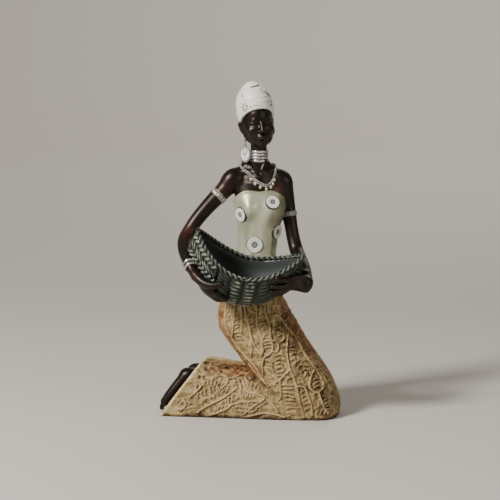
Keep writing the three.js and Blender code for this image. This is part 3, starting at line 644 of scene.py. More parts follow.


# The bowl: its outer side pushed out along its normals by the weave, then its smooth inner side, as
# one closed surface. The tone is high on the raised strands, a painted highlight, and falls below 0
# for a painted sheen on the inner side.
def basketBowl():
    along, around, inner = 430, 156, 24
    even = np.linspace(0, 1, along)
    u = (0.35 * (1 - np.cos(np.pi * even)) * 0.5 + 0.65 * even) * 2 - 1
    outer = basketPoint(u[:, None] * basket["outerReach"], np.linspace(-1, 1, around)[None, :], -0.7)
    stepA = np.linalg.norm(np.diff(outer, axis=0), axis=2).mean(1)
    a = np.concatenate([[0], np.cumsum(stepA)])[:, None]
    stepB = np.linalg.norm(np.diff(outer, axis=1), axis=2)
    b = np.concatenate([np.zeros((along, 1)), np.cumsum(stepB, 1)], 1)
    b = np.minimum(b, b[:, -1:] - b)
    normal = unit(np.cross(np.gradient(outer, axis=0), np.gradient(outer, axis=1)))
    normal = normal * np.sign((normal * (outer - outer.mean((0, 1)))).sum())
    high = weave(u[:, None], a, b) * ramp(0, 1.6, b)
    outer = outer + normal * (np.maximum(high, basket["weaveLow"]) - basket["weaveSink"])[..., None]
    # Painted highlight: the crests of the raised strands are painted pale, most on the middle columns and at
    # the left end.
    highlight = 0.26 + 0.5 * np.exp(-(((u - basket["highlightAt"]) / basket["highlightWide"]) ** 4))
    highlight = highlight + 0.6 * ramp(-0.45, -0.75, u)
    patchy = 0.7 + 0.75 * lumps(outer.reshape(-1, 3), 2.4, 21).reshape(outer.shape[:2])
    strands = np.clip((high - 0.75) / 0.75, 0, 1) ** 1.3 * highlight[:, None] * patchy
    w = np.linspace(1, -1, inner)
    inside = basketPoint(u[:, None] * basket["innerReach"], w[None, :] * basket["innerRim"], -basket["wall"])
    # Painted sheen: the inner side is painted a paler blue-grey, most to the right and in a patch near the
    # left end.
    paintedSheen = -0.08 - 0.95 * ramp(-0.25, 0.45, u) - 0.27 * np.exp(-(((u + 0.6) / 0.26) ** 2))
    paintedSheen = paintedSheen[:, None] * np.exp(-(((w + 0.3) / 0.5) ** 2))[None, :]
    return facedOut(tubeOf(np.concatenate([outer, inside], 1), np.concatenate([strands, paintedSheen], 1)))


# The rope: a path along the front rim and back along the back rim, and two strands that wind round
# it as circle(phase), with the phase growing by the length gone. The right part of the front rim
# has the other hand of twist.
def basketRope():
    t = np.linspace(0, 1, 900, endpoint=False)
    inFront = t < 0.5
    u = np.where(inFront, -1 + 4 * t, 3 - 4 * t)
    u = np.sign(u) * (1 - (1 - np.abs(u)) ** 1.25)
    path = basketPoint(u * basket["outerReach"], np.where(inFront, 1.0, -1.0), -basket["wall"] / 2)
    path = path + basketAxes[2] * basket["ropeUp"]
    for _ in range(6):
        path = (path + 0.5 * (np.roll(path, 1, 0) + np.roll(path, -1, 0))) / 2
    ahead = unit(np.roll(path, -1, 0) - np.roll(path, 1, 0))
    up = unit(basketAxes[2] - ahead * (ahead @ basketAxes[2])[:, None])
    out = np.cross(ahead, up)
    hand = np.where(inFront & (u > basket["ropeTurnsAt"]), 1.0, -1.0)
    steps = hand * np.linalg.norm(np.roll(path, -1, 0) - path, axis=1)
    length = np.concatenate([[0], np.cumsum(steps)])
    halfTurns = round(2 * length[-1] / basket["ropePitch"])
    angle = onceRound(9)
    strands = []
    for k in range(2):
        phase = np.pi * (halfTurns * length[:-1] / length[-1] + k)
        centre = path + basket["ropeOff"] * circle(phase, out, up)
        radial = unit(centre - path)
        section = circle(angle, radial[:, None], np.cross(ahead, radial)[:, None])
        # Painted highlight: each strand is paler along its outer crest, more where it faces up and to the
        # front.
        facing = np.clip(radial @ basketAxes[2] * 0.75 - radial @ basketAxes[1] * 0.45, 0, 1)
        highlight = (0.4 + 0.6 * facing) * (0.75 + 0.4 * lumps(path, 6, 22))
        tone = 0.8 * np.clip(np.cos(angle), 0, 1) ** 2 * highlight[:, None]
        strands.append(facedOut(ringOf(centre[:, None] + basket["rope"] * section, tone)))
    return strands


# The whole basket, bowl and rope.
def makeBasket():
    return together([basketBowl()] + basketRope())


# The bare body: shoulders, chest, arms, hands and neck. Rows of a limb: x, y, z, radius; those of
# collarbone and neckCord count x from the middle. Patina: middle, half sizes and strength.
body = {
    "rightArm": [
        [-9, 3, 188.6, 7.2], [-13.8, 2.2, 190, 8.2], [-20.2, 1, 182, 7.1], [-28.8, -1.6, 173.6, 6.5],
        [-36, -4.2, 166, 6], [-42.7, -6.6, 158.1, 5.7], [-48.2, -9, 150.1, 5.5], [-51.8, -14, 143.4, 5.7],
        [-52, -24, 138.2, 5.6], [-50, -36, 132.4, 5], [-46.6, -46, 125.8, 4.2], [-42, -50, 118.8, 4.1],
    ],
    "leftArm": [
        [18, 3, 189.5, 7.6], [25.6, 2, 189.2, 8], [28.6, 2.4, 180, 6.6], [30.6, 3, 170, 5.7],
        [31.9, 2.4, 160, 5.6], [33.5, 1, 150, 5.3], [35.5, -1.4, 140, 5.4], [37.8, -6, 132.2, 5.6],
        [40.6, -18, 127.4, 5.3], [43.2, -31, 122.6, 4.8], [44.7, -41, 118.2, 4.2], [45, -48, 114.4, 4.6],
    ],
    "patina": [
        [[-24, -2, 183], [7, 9, 9], 0.35], [[-50, -14, 150], [6, 12, 13], 0.42],
        [[22.5, -8, 180], [3.5, 6, 6], 1.0], [[-44, -50, 120], [4, 8, 4], 0.25],
    ],
    "neck": [
        [7.2, 3, 188, 12], [7.3, 2.6, 196, 9], [7.4, 2, 201, 7.5], [7.4, 1.2, 208, 6.8], [7, 0.4, 216, 6.5],
        [6.6, 0, 226, 6.8],
    ],
    "slopes": [
        [[3, 3, 206, 3], [-5, 3, 197.6, 4], [-13, 2.6, 193, 5.4]],
        [[12, 3, 204, 2.6], [18, 3, 196, 3.4], [24, 2.4, 191.6, 5]],
    ],
    "middle": 7.4,
    "collarbone": [[2.4, -4.3, 195.6, 1], [10, -3.4, 196.6, 0.9], [17, 0, 195.6, 1]],
    "neckCord": [[1.4, -5, 194.6, 1.1], [3.2, -5.3, 199.6, 1.2], [5.2, -3.4, 205, 1.5]],
    "notch": [[7.4, -7, 196.2], [1.6, 1.6, 2]],
    "step": 0.58,
}
# Palm: middle, half sizes, tilt. Fingers: u on the basket from and to, v of the first finger, its step
# to the next finger and its climb along each, radius. Knuckle: the first one, and the step to the next.
hands = {
    "right": {
        "palm": [[-32.6, -44.6, 108.4], [10.6, 9.6, 5.2], (0, 44, 0)],
        "fingers": {"from": -0.6, "to": -0.14, "first": 0.56, "step": -0.2, "climb": 0.0, "radius": 2.9},
        "knuckle": [[-33, -52, 111.4], [0, 5, -1.2]],
        "thumb": [
            [-42.4, -50, 119, 3.9], [-36.4, -54.6, 114.6, 3.8], [-29.6, -58, 112.8, 3.3],
            [-22.4, -59.9, 114.2, 2.3],
        ],
    },
    "left": {
        "palm": [[42.8, -50.4, 113], [6.6, 5.8, 6.6], (0, 0, 0)],
        "fingers": {"from": 0.88, "to": 0.56, "first": 0.76, "step": -0.115, "climb": 0.22, "radius": 2.4},
        "knuckle": [[43.4, -53.4, 117.6], [0.3, 0.8, -3]],
        "thumb": [[43.6, -42, 119.4, 3.6], [38, -33, 121, 3.2], [31, -27.6, 122.4, 2.6]],
    },
}


# A hand on the basket. Each finger starts at the knuckle and follows the wall by five places, from
# one u to another, standing off it by most of its own radius; it thins towards the tip.
def addHand(field, hand):
    fingers = hand["fingers"]
    share = np.linspace(0, 1, 5)
    thick = fingers["radius"] * (1 - 0.22 * share) * np.array([1.02, 0.93, 1.03, 0.95, 0.96])
    for i in range(4):
        to = fingers["to"] + 0.04 * abs(i - 1.5) * np.sign(fingers["from"])
        u = fingers["from"] + (to - fingers["from"]) * share
        v = np.minimum(1, fingers["first"] + i * fingers["step"] + fingers["climb"] * share)
        wall = basketPoint(u, v, 0.0)
        out = unit(wall - basketPoint(u, v, -3.0))
        spots = wall + out * (0.62 * thick + 0.5)[:, None]
        start = np.array(hand["knuckle"][0]) + i * np.array(hand["knuckle"][1])
        addLimb(field, np.vstack([np.append(start, fingers["radius"]), np.column_stack([spots, thick])]), 0.5)
    at, half, tilt = hand["palm"]
    addBall(field, at, half, 1.6, tilt)
    addLimb(field, hand["thumb"], 1.0)


# How strong patches are at points: the sum of bells, each with its middle, half sizes and strength.
def patches(points, bells):
    return sum(share * np.exp(-(((points - spot) / size) ** 2).sum(1)) for spot, size, share in bells)


# The bare body in one field: the trunk, then neck, shoulder slopes, collarbones and the cords of the
# neck, the notch between them carved out, the arms and the hands. Its patina is paint only.
def makeBody():
    field = newField([-60, -68, 98], [54, 20, 224], body["step"])
    addTrunk(field)
    addLimb(field, body["neck"], 3.0)
    for rows in body["slopes"]:
        addLimb(field, rows, 3)
    for side in (-1, 1):
        for key, soft in (("collarbone", 2.6), ("neckCord", 1.5)):
            addLimb(field, [[body["middle"] + side * x, y, z, r] for x, y, z, r in body[key]], soft)
    addBall(field, *body["notch"], 1.2, carve=True)
    addLimb(field, body["rightArm"], 2.0)
    addLimb(field, body["leftArm"], 2.0)
    for hand in hands.values():
        addHand(field, hand)
    shape = netOf(*surfaceOf(field, 3))
    shape["tintAndShade"] = np.clip(patches(shape["points"], body["patina"]), 0, 1)
    return shape


# The head about its own middle. Each form: at, half sizes, softness, tilt, carve; those off the
# middle stand on both sides.
head = {"at": [6.3, 0, 233.3], "tilt": (-6, -6.3, 14), "size": 1.08, "step": 0.3, "topZ": 15}
headBalls = [
    [[0, 2.6, 3], [12.2, 14, 13.2], 0, (0, 0, 0), False],
    [[0, -2, 8], [9.5, 10.2, 9], 2, (0, 0, 0), False],
    [[0, -1.6, -3.5], [10.2, 10.4, 12.4], 3, (0, 0, 0), False],
    [[6.6, -7.4, -3.2], [3.2, 2.6, 2.2], 2.6, (0, 0, 0), False],
    [[0, -9.2, -13.2], [3, 2.6, 2.6], 2, (0, 0, 0), False],
    [[4.4, -13, 0.7], [3.5, 2.3, 2.3], 1.6, (0, 0, 0), True],
    [[4.35, -8.7, 0.2], [2.5, 2.45, 2.2], 0.3, (0, 0, 0), False],
    [[4.5, -9.5, 1.9], [3, 2, 1.1], 0.9, (0, -8, 0), False],
    [[4.5, -9.7, -1.7], [2.5, 1.2, 0.6], 0.8, (0, 8, 0), False],
    [[0, -14, -4.5], [1.7, 1.5, 1.35], 0.8, (0, 0, 0), False],
    [[2, -12.8, -5], [1.3, 1.6, 1.2], 0.6, (0, 0, 0), False],
    [[1.15, -13.5, -6.3], [0.6, 0.8, 0.7], 0.3, (0, 0, 0), True],
    [[0, -11.2, -9], [4.2, 1.9, 2.6], 1.8, (0, 0, 0), False],
    [[0, -13.5, -12], [2.6, 1, 0.8], 1, (0, 0, 0), True],
    [[11.4, 2.4, -0.4], [1.3, 2.6, 4.4], 0.8, (-16, 0, 0), False],
    [[10.9, -0.7, -4.5], [1.25, 1.6, 2.8], 0.7, (0, 0, 0), False],
    [[12.9, 2.2, 0.2], [0.9, 1.3, 2.2], 0.4, (-16, 0, 0), True],
]
headLimbs = [
    [[[0, -11.4, 3.2, 0.9], [0, -12.5, 0.6, 1.1], [0, -13.3, -2.2, 1.3], [0, -13.8, -4.3, 1.5]], 1.2, False],
    [[[2, -11.6, 3.3, 0.8], [4.8, -11, 4.4, 0.9], [8, -8.4, 3.4, 0.8]], 1.2, False],
    [[[2.2, -10.6, -0.5, 0.3], [4.4, -11.3, -0.95, 0.36], [6.7, -9.9, -0.4, 0.3]], 0.3, False],
    [[[2.3, -11.2, -0.95, 0.16], [4.4, -11.9, -1.4, 0.18], [6.6, -10.4, -0.85, 0.16]], 0.2, True],
    [[[3.3, -11.4, -8.9, 0.3], [1.6, -12.7, -8.35, 0.7], [0.6, -13.05, -8.15, 0.78],
      [0, -13, -8.35, 0.72]], 0.35, False],
    [[[3.1, -11.4, -9.2, 0.3], [1.5, -12.5, -9.95, 0.85], [0, -12.85, -10.1, 0.95]], 0.4, False],
    [[[3.6, -11.9, -9, 0.14], [1.7, -13.4, -9.1, 0.18], [0, -13.9, -9.2, 0.18]], 0.18, True],
    [[[0, -13.1, -6.5, 0.3], [0, -13.5, -7.6, 0.35]], 0.5, True],
    [[[0, -8.4, -13.6, 2], [5.2, -4, -11.6, 2.2], [8.4, 0.6, -7.6, 2.4]], 2.4, False],
    [
        [[11.2, 0.2, 0.6, 0.5], [12, 1, 3.4, 0.65], [12.7, 3.2, 4.2, 0.7], [13, 5, 2, 0.75],
         [12.5, 4, -1.6, 0.7], [11.7, 1.2, -4.4, 0.7]],
        0.4,
        False,
    ],
]


# A head place in working coordinates: turned by the head's tilt and moved to its middle.
def onHead(points, size=1.0):
    return points * size @ turned(head["tilt"]).T + head["at"]


# Forms are blended on both sides, but a ball in the middle only once. The top that the wrap hides
# is cut off level.
def makeHead():
    field = newField([-15.5, -18, -20], [15.5, 19, 17.5], head["step"])
    for at, half, soft, (a, b, c), carve in headBalls:
        for side in (1, -1) if at[0] else (1,):
            addBall(field, [side * at[0], at[1], at[2]], half, soft, (a, side * b, side * c), carve)
    for rows, soft, carve in headLimbs:
        for side in (1, -1):
            addLimb(field, [[side * x, y, z, r] for x, y, z, r in rows], soft, 4, carve)
    cut, _, _, z = wholeOf(field)
    blendIn(field, cut, head["topZ"] - z, 0, True)
    points, quads = surfaceOf(field, 2)
    return netOf(onHead(points, head["size"]), quads)


# The head wrap, an egg-shaped crown. Rows: height, half width, half depth, shift to the back. Marks
# incised in it: turn from the front, height, ring radius, count, half length, half width, start.
# Cuts: turn and height of both ends, half width, strength. Folds: turn, spread, height, lean.
wrap = {
    "rows": [
        [-8, 12, 14, 1.8], [-2, 12.9, 15.2, 2], [4.4, 14, 16.5, 2.1], [10, 14.8, 17, 2.5],
        [16, 14.8, 16.8, 3], [21.8, 13.8, 15.6, 3.3], [27, 11.7, 13, 3.4], [31.8, 8, 8.9, 3.4],
        [35.5, 3.3, 3.7, 3.4],
    ],
    "frontZ": 12.9, "fall": 19.7, "power": 1.1, "foldHigh": 0.4, "foldHalf": 1.1, "inkDeep": 0.5,
    "lip": [[3.4, 5], [2.4, 1.6], [1.4, 0.1]], "lipShade": 0.8,
    "domeAt": [0.35, 0.65, 0.85, 0.96], "domeHigh": 0.05,
    "marks": [
        [-47, 15.4, 2.5, 7, 1.5, 0.62, 0.35], [-120, 16, 2.4, 7, 1.2, 0.46, 0.5],
        [128, 12, 2.4, 7, 1.2, 0.46, 0.2], [178, 20, 2.4, 7, 1.2, 0.46, 0], [178, 2, 2.4, 7, 1.2, 0.46, 0.3],
        [-59, 25.1, 0, 1, 1.1, 0.95, 0], [-86, 23.8, 0, 1, 1, 0.4, 0.9], [-84, 10.8, 0, 1, 0.8, 0.4, 0.4],
    ],
    "cuts": [
        [-17, 31, 38, 31.9, 0.62, 1], [25, 28.2, 31, 26.7, 0.55, 1], [41, 24.7, 64, 21, 0.78, 1],
        [50, 18.3, 60, 16.6, 0.62, 1], [43, 14.4, 56, 15.2, 0.55, 1], [-16, 16, 12, 15, 0.34, 0.55],
        [-30, 14.6, -24, 15.4, 0.4, 0.8], [110, 24, 140, 27, 0.5, 1], [-140, 26, -110, 23, 0.5, 1],
    ],
    "folds": [
        [24, 46, 19, 0.25], [30, 40, 22.6, 0.32], [28, 42, 26.4, 0.3], [-62, 50, 20, -0.2],
        [150, 80, 16, 0.1], [150, 80, 22, 0.12], [-130, 70, 19, -0.1], [-120, 60, 8, -0.1],
        [120, 60, 6, 0.1],
    ],
}
wrapTable = smoothRows(wrap["rows"], np.linspace(0, 1, 400))


# The lower edge of the wrap falls from the forehead to the nape by a power of (1 + sin angle) / 2.
def wrapEdge(angle):
    return wrap["frontZ"] - wrap["fall"] * ((1 + np.sin(angle)) / 2) ** wrap["power"]


# A point of the crown: the share of the way from the lower edge to the top gives its height, and the
# angle its place on the oval there.
def wrapPoint(share, angle):
    edge = wrapEdge(angle)
    z = edge + (wrapTable[-1, 0] - edge) * share
    wide, deep, back = (np.interp(z, wrapTable[:, 0], wrapTable[:, k]) for k in (1, 2, 3))
    return np.stack([wide * np.cos(angle), back + deep * np.sin(angle), z], -1)


# Mm round the wrap at a turn in degrees: the turn times the mean of half width and half depth.
def roundWrap(turn, z):
    wide, deep = (np.interp(z, wrapTable[:, 0], wrapTable[:, k]) for k in (1, 2))
    return np.radians(turn) * (wide + deep) / 2


# Strokes round a middle, each one a thin ellipse that points away from it.
def strokes(a, b, at, radius, count, long, thin, start):
    deep = np.zeros_like(a)
    for k in range(count):
        turn = start + 2 * np.pi * k / count
        da, db = a - at[0] - radius * np.cos(turn), b - at[1] - radius * np.sin(turn)
        p, q = da * np.cos(turn) + db * np.sin(turn), -da * np.sin(turn) + db * np.cos(turn)
        deep = np.maximum(deep, 1 - ramp(0.55, 1.15, np.sqrt((p / long) ** 2 + (q / thin) ** 2)))
    return deep


# How deep the ink lies, 0 to 1: the strokes of the marks, and cuts that fade over their own width.
def wrapInk(width, level):
    ink = np.zeros_like(level)
    for turn, at, *mark in wrap["marks"]:
        ink = np.maximum(ink, strokes(width, level, (roundWrap(turn, at), at), *mark))
    places = np.stack([width, 0 * width, level], -1).reshape(-1, 3)
    for a0, z0, a1, z1, half, strength in wrap["cuts"]:
        ends = np.array([[roundWrap(a0, z0), 0, z0], [roundWrap(a1, z1), 0, z1]])
        gap = toChain(places, ends, 3).reshape(width.shape)
        ink = np.maximum(ink, strength * (1 - ramp(0.5 * half, 1.3 * half, gap)))
    return ink


# Height of the folds, 0 to 1: bells over the distance from a line that leans and bows.
def wrapFolds(a, level):
    fold = 0
    for middle, spread, at, lean in wrap["folds"]:
        line = level - at - lean * (a - middle) * 0.1 - 0.0012 * (a - middle) ** 2
        fold = fold + np.exp(-((line / wrap["foldHalf"]) ** 2)) * np.exp(-(((a - middle) / spread) ** 4))
    return fold


# The crown with folds up and ink down along its normals, a lip turned in below, painted dark as shade, a flat
# dome above.
def makeWrap():
    tall, around = 150, 330
    share, angle = np.meshgrid(np.linspace(0, 1, tall), onceRound(around), indexing="ij")
    base = wrapPoint(share, angle)
    normal = unit(np.cross(np.roll(base, -1, 1) - np.roll(base, 1, 1), np.gradient(base, axis=0)))
    a = (np.degrees(angle) + 270) % 360 - 180
    level = base[..., 2]
    ink = wrapInk(roundWrap(a, level), level)
    edge = 1 - ramp(0, 1.1, level - wrapEdge(angle))
    high = wrap["foldHigh"] * wrapFolds(a, level) - wrap["inkDeep"] * ink - 0.9 * edge**2
    outside = base + normal * high[..., None]
    rim, centre = outside[0], outside[-1].mean(0)
    inward = unit((rim.mean(0) - rim) * [1, 1, 0])
    lip = [rim + inward * deep + [0, 0, up] for deep, up in wrap["lip"]]
    top = outside[-1] - centre
    dome = [centre + top * np.sqrt(1 - k * k) + [0, 0, wrap["domeHigh"] * k] for k in wrap["domeAt"]]
    # The lip turned in under the edge is painted dark: painted shade in the gap over the forehead.
    lipShade, domeTone = np.full((len(lip), around), wrap["lipShade"]), np.zeros((len(dome), around))
    tone = np.concatenate([lipShade, np.clip(ink * 1.15, 0, 1), domeTone])
    shape = facedOut(tubeOf(np.concatenate([np.stack(lip), outside, np.stack(dome)]), tone))
    shape["points"] = onHead(shape["points"])
    return shape


# The strapless bodice on the trunk, its top edge in two cups and lower at the back. Folds: turn,
# half width, height, lean. Discs: height, turn, radius. Their profile: share of the radius, mm more,
# height over the cloth, tone.
bodice = {
    "proud": 0.9, "middleZ": 180.8, "backZ": 172, "cupTurn": 30, "cupSpread": 26, "cupRise": 2, "lowZ": 112,
    "folds": [[-40, 6, 0.5, 0.2], [-14, 7, 0.45, 0.1], [12, 6, 0.4, -0.2], [40, 8, 0.5, -0.3],
     [150, 12, 0.4, 0]],
    "discs": [[173, 26, 5.6], [162.4, -50, 5.7], [138.2, -6, 6.4], [148, 64, 5.8], [160, 152, 6.2],
     [140, 190, 6.2]],
    "discProfile": [
        [1, 0.45, -1.6, 1], [1, 0.45, -0.1, 1], [1, 0.2, 0.12, 1], [1, 0, 0.1, 1], [1, -0.02, 0.45, 0.7],
        [1, -0.25, 0.69, 0], [1, -0.6, 0.75, 0], [0.62, 0, 0.8, 0], [0.39, 0, 0.75, 0],
        [0.36, 0, 0.55, 0.95], [0.33, 0, 0.4, 0.9], [0.28, 0, 0.45, 0.45], [0.15, 0, 0.53, 0.4],
        [0, 0.01, 0.55, 0.45],
    ],
}


# Height of the top edge at a turn in degrees: it falls to the back, and a bell rises over each cup.
def bodiceEdge(turn):
    c = np.maximum(0, np.cos(np.radians(turn)))
    cups = np.exp(-(((np.abs(turn) - bodice["cupTurn"]) / bodice["cupSpread"]) ** 2))
    return bodice["backZ"] + (bodice["middleZ"] - bodice["backZ"]) * c**0.7 + bodice["cupRise"] * cups


# The cloth stands proud of the trunk, rounded at its top edge over a low bead, with bell-shaped
# folds at the waist and a shallow hollow between the cups. Two rings below the edge turn it in.
def makeBodice():
    tall, around = 90, 240
    turn = np.linspace(-180, 180, around, endpoint=False)[None, :]
    share = np.linspace(0, 1, tall)[:, None]
    top = bodiceEdge(turn)
    z = bodice["lowZ"] + (top - bodice["lowZ"]) * share
    below = top - z
    rounded = np.sqrt(1 - (1 - np.minimum(1, below / 0.9)) ** 2)
    proud = bodice["proud"] * rounded + 0.35 * np.exp(-(((below - 0.9) / 0.8) ** 2))
    waist = ramp(160, 140, z) * ramp(112, 122, z)
    folds = 0
    for at, wide, high, lean in bodice["folds"]:
        folds = folds + high * np.exp(-(((turn - at - lean * (z - 140)) / wide) ** 2))
    hollow = 0.5 * np.exp(-((turn / 16) ** 2)) * np.exp(-(((z - 168) / 9) ** 2))
    outer = trunkPoint(z, turn, proud + folds * waist - hollow)
    under = trunkPoint(top - [[0.4], [2.5]], turn, -0.8 * np.ones((2, 1)))
    tone = 0.6 * np.exp(-((below / 0.35) ** 2))
    shape = facedOut(tubeOf(np.concatenate([outer, under]), np.concatenate([tone, np.ones((2, around))])))
    x, _, z = shape["points"].T
    # Painted shade: the bodice is painted darker towards its right side and near its lower edge.
    shape["tintAndShade"] = np.clip(ramp(4, 22, x - 6.5) * 0.75 + 0.3 * ramp(128, 112, z), 0, 1)
    return shape


# Each disc is a turned profile, square to the cloth under it.
def makeDiscs():
    shapes = []
    part, extra, high, tone = np.array(bodice["discProfile"]).T
    for z, turn, radius in bodice["discs"]:
        z, turn = np.array(float(z)), np.array(float(turn))
        nearby = ((0, 0), (0, -5), (0, 5), (-2, 0), (2, 0))
        here, left, right, low, above = (trunkPoint(z + dz, turn + dt, bodice["proud"]) for dz, dt in nearby)
        sideways = unit(right - left)
        upward = above - low
        upward = unit(upward - sideways * (upward @ sideways))
        rings = (part * radius + extra)[:, None, None] * circle(onceRound(48), sideways, upward)
        grid = here + rings + high[:, None, None] * np.cross(sideways, upward)
        shapes.append(facedOut(tubeOf(grid, tone[:, None])))
    return together(shapes)


# The skirt. Rows of the lap: back outline along and z, front outline along and z, half depth. Rows
# of the train over the lower legs: distance along the legs, height, half width. Each cloth has its
# length, its way round and the gap between its veins in mm.
skirt = {
    "lap": [
        [-10.6, 121, 20.4, 122, 12.8], [-15.2, 111, 20.4, 116.6, 15.6], [-20.6, 100.6, 20.8, 111, 19],
        [-24.4, 89.6, 22.4, 104.8, 22.6], [-25.6, 79.8, 24.8, 98.4, 25.2], [-23.8, 69.8, 27.8, 91.4, 27],
        [-18, 60.6, 31.4, 84.8, 28], [-7.8, 47.4, 38, 73.8, 29], [3.6, 32.6, 47.6, 57.2, 29.4],
        [15, 17.6, 58, 42.4, 29.4], [27, 3, 66.8, 29, 28.6], [40, -8, 72.4, 16, 27],
        [51, -13, 73.8, 6.6, 24], [60, -13, 72, -1, 19],
    ],
    "train": [
        [66, 8, 10], [60, 19, 22], [48, 29, 27.5], [28, 35, 29.4], [8, 37.6, 30], [-12, 39.6, 30.2],
        [-34, 42.6, 30.6], [-56, 42.4, 31.4], [-86, 39, 32],
    ],
    "lapPower": 0.95, "trainPower": 0.85, "lapTop": 121.4, "trainEnd": 66,
    "hemTop": [-37.6, 43], "hemFoot": [-69, 0], "hemWall": 3.2, "hemRecess": 4, "crease": 2.6,
    "lapCloth": [126, 150, 10.6], "trainCloth": [136, 120, 9.8], "splitZ": 46,
    "veinHigh": 1.8, "veinHalf": 0.75, "pathHalf": 0.66, "strokeHalf": 0.56, "netHigh": 0.7,
    "shadowOff": [0.55, 0, -0.5], "step": 0.62, "seed": 5,
}
lapTable = smoothRows(skirt["lap"], np.linspace(0, 1, 300))
trainTable = smoothRows(skirt["train"], np.linspace(0, 1, 300))[::-1]


# The share down the lap whose row line passes through a place, found by halving.
def lapShare(along, z):
    low, high = np.zeros_like(along), np.ones_like(along)
    grid = np.linspace(0, 1, 300)
    for _ in range(12):
        middle = (low + high) / 2
        bx, bz, fx, fz = (np.interp(middle, grid, lapTable[:, k]) for k in range(4))
        beyond = (fx - bx) * (z - bz) - (fz - bz) * (along - bx) < 0
        low, high = np.where(beyond, middle, low), np.where(beyond, high, middle)
    return (low + high) / 2


# Where a place lies in the lap: its share down, its mm forward of the middle of its row line, and
# the half length and half depth there.
def lapPlace(along, z):
    share = lapShare(along, z)
    bx, bz, fx, fz, deep = (np.interp(share, np.linspace(0, 1, 300), lapTable[:, k]) for k in range(5))
    half = np.hypot(fx - bx, fz - bz) / 2
    forward = ((along - (bx + fx) / 2) * (fx - bx) + (z - (bz + fz) / 2) * (fz - bz)) / (2 * half)
    return share, forward, half, deep


# Mm past the slanted plane of the open hem, below 0 inside the train.
def pastHem(along, z):
    (topA, topZ), (footA, footZ) = skirt["hemTop"], skirt["hemFoot"]
    slope = np.hypot(topA - footA, topZ - footZ)
    return -((along - footA) * (topZ - footZ) - (z - footZ) * (topA - footA)) / slope


# The smooth skirt. Lap and train are each (outness - 1) times the smaller half size, cut off at the
# waist and at the knees. The hem's plane cuts the train and hollows it, and the ground cuts both.
def makeSkirtBase():
    field = newField([-76, -36, -1.4], [80, 36, 126], skirt["step"])
    _, along, across, z = wholeOf(field)
    flatAlong, flatZ = along[:, 0, :] + 0 * z[0], z[0] + 0 * along[:, 0, :]
    _, forward, half, deep = (v[:, None, :].astype(np.float32) for v in lapPlace(flatAlong, flatZ))
    near = outness(forward / half, across / deep, 2 / skirt["lapPower"])
    lap = np.maximum((near - 1) * np.minimum(half, deep), z - skirt["lapTop"])
    high, wide = (np.interp(along, trainTable[:, 0], trainTable[:, k]) for k in (1, 2))
    near = outness(across / wide, z / high, 2 / skirt["trainPower"])
    train = np.maximum((near - 1) * np.minimum(wide, high), along - skirt["trainEnd"])
    plane = pastHem(along, z)
    recess = np.maximum(train + skirt["hemWall"], -plane - skirt["hemRecess"])
    train = -softMin(-np.maximum(train, plane), recess, 0.8)
    field["values"][:] = np.maximum(softMin(lap, train, skirt["crease"]), -z)
    return surfaceOf(field, 2)


# A ridge along a curve b = g(a): a round profile of the distance |b - g| / sqrt(1 + g'^2).
def ridge(a, b, a0, b0, a1, b1, bow, half, high):
    t = (a - a0) / (a1 - a0)
    inside = (t > -0.02) & (t < 1.02)
    t = np.clip(t, 0, 1)
    line = b0 + (b1 - b0) * t + bow * np.sin(np.pi * t)
    slope = ((b1 - b0) + bow * np.pi * np.cos(np.pi * t)) / (a1 - a0)
    gap = np.abs(b - line) / np.sqrt(1 + slope**2)
    return np.where(inside, high * np.exp(-((gap / half) ** 2)), 0)


# The relief in one sheet of cloth, with a in mm down it and b in mm round it: long swaying veins,
# branches that leave one vein and join the next, and combs of short strokes beside the veins.
def veins(a, b, long, around, gap, seed):
    rng = np.random.default_rng(seed)
    high, comb = np.zeros_like(a), np.zeros_like(a)
    count = int(round(around / gap))
    gap = around / count
    phase = rng.uniform(0, 6, count)

    def sway(k, t):  # mm to the side of vein k at a share t down the cloth
        own = phase[k % count]
        return gap * 0.3 * np.sin(5.2 * t + own) + gap * 0.12 * np.sin(13 * t + 2 * own)

    def wrapped(value):  # mm round the cloth, from minus half way round to half way
        return (value + around / 2) % around - around / 2

    for k in range(count):
        off = wrapped(b - (k + 0.5) * gap - sway(k, a / long))
        strength = 0.75 + 0.25 * np.sin(4 * a / long * np.pi + phase[k])
        high = np.maximum(high, strength * np.exp(-((off / skirt["veinHalf"]) ** 2)))
        beside = ramp(1.0, 1.8, np.abs(off)) * (1 - ramp(0.3 * gap, 0.46 * gap, np.abs(off)))
        patch = ramp(-0.1, 0.35, np.sin(a / long * 11 + 1.7 * phase[k]) + 0.4 * np.sin(a / 9 + phase[k]))
        teeth = np.maximum(0, np.cos(2 * np.pi * (a + 0.55 * np.abs(off) + 3 * phase[k]) / 3.3)) ** 1.6
        comb = np.maximum(comb, beside * patch * teeth)
        start = rng.uniform(0.02, 0.16)
        while start < 0.9:
            end = min(start + rng.uniform(0.09, 0.2), 1)
            side = rng.choice([-1, 1])
            b0 = (k + 0.5) * gap + sway(k, start)
            b1 = (k + 0.5 + side * rng.choice([0.55, 1.0])) * gap + sway(k + side, end)
            bow = side * rng.uniform(-1, 3)
            middle = (b0 + b1) / 2
            nearest = middle + wrapped(b - middle)
            high = np.maximum(high, ridge(a, nearest, start * long, b0, end * long, b1, bow, 0.7, 0.9))
            start = end + rng.uniform(0.02, 0.13)
    return high, comb


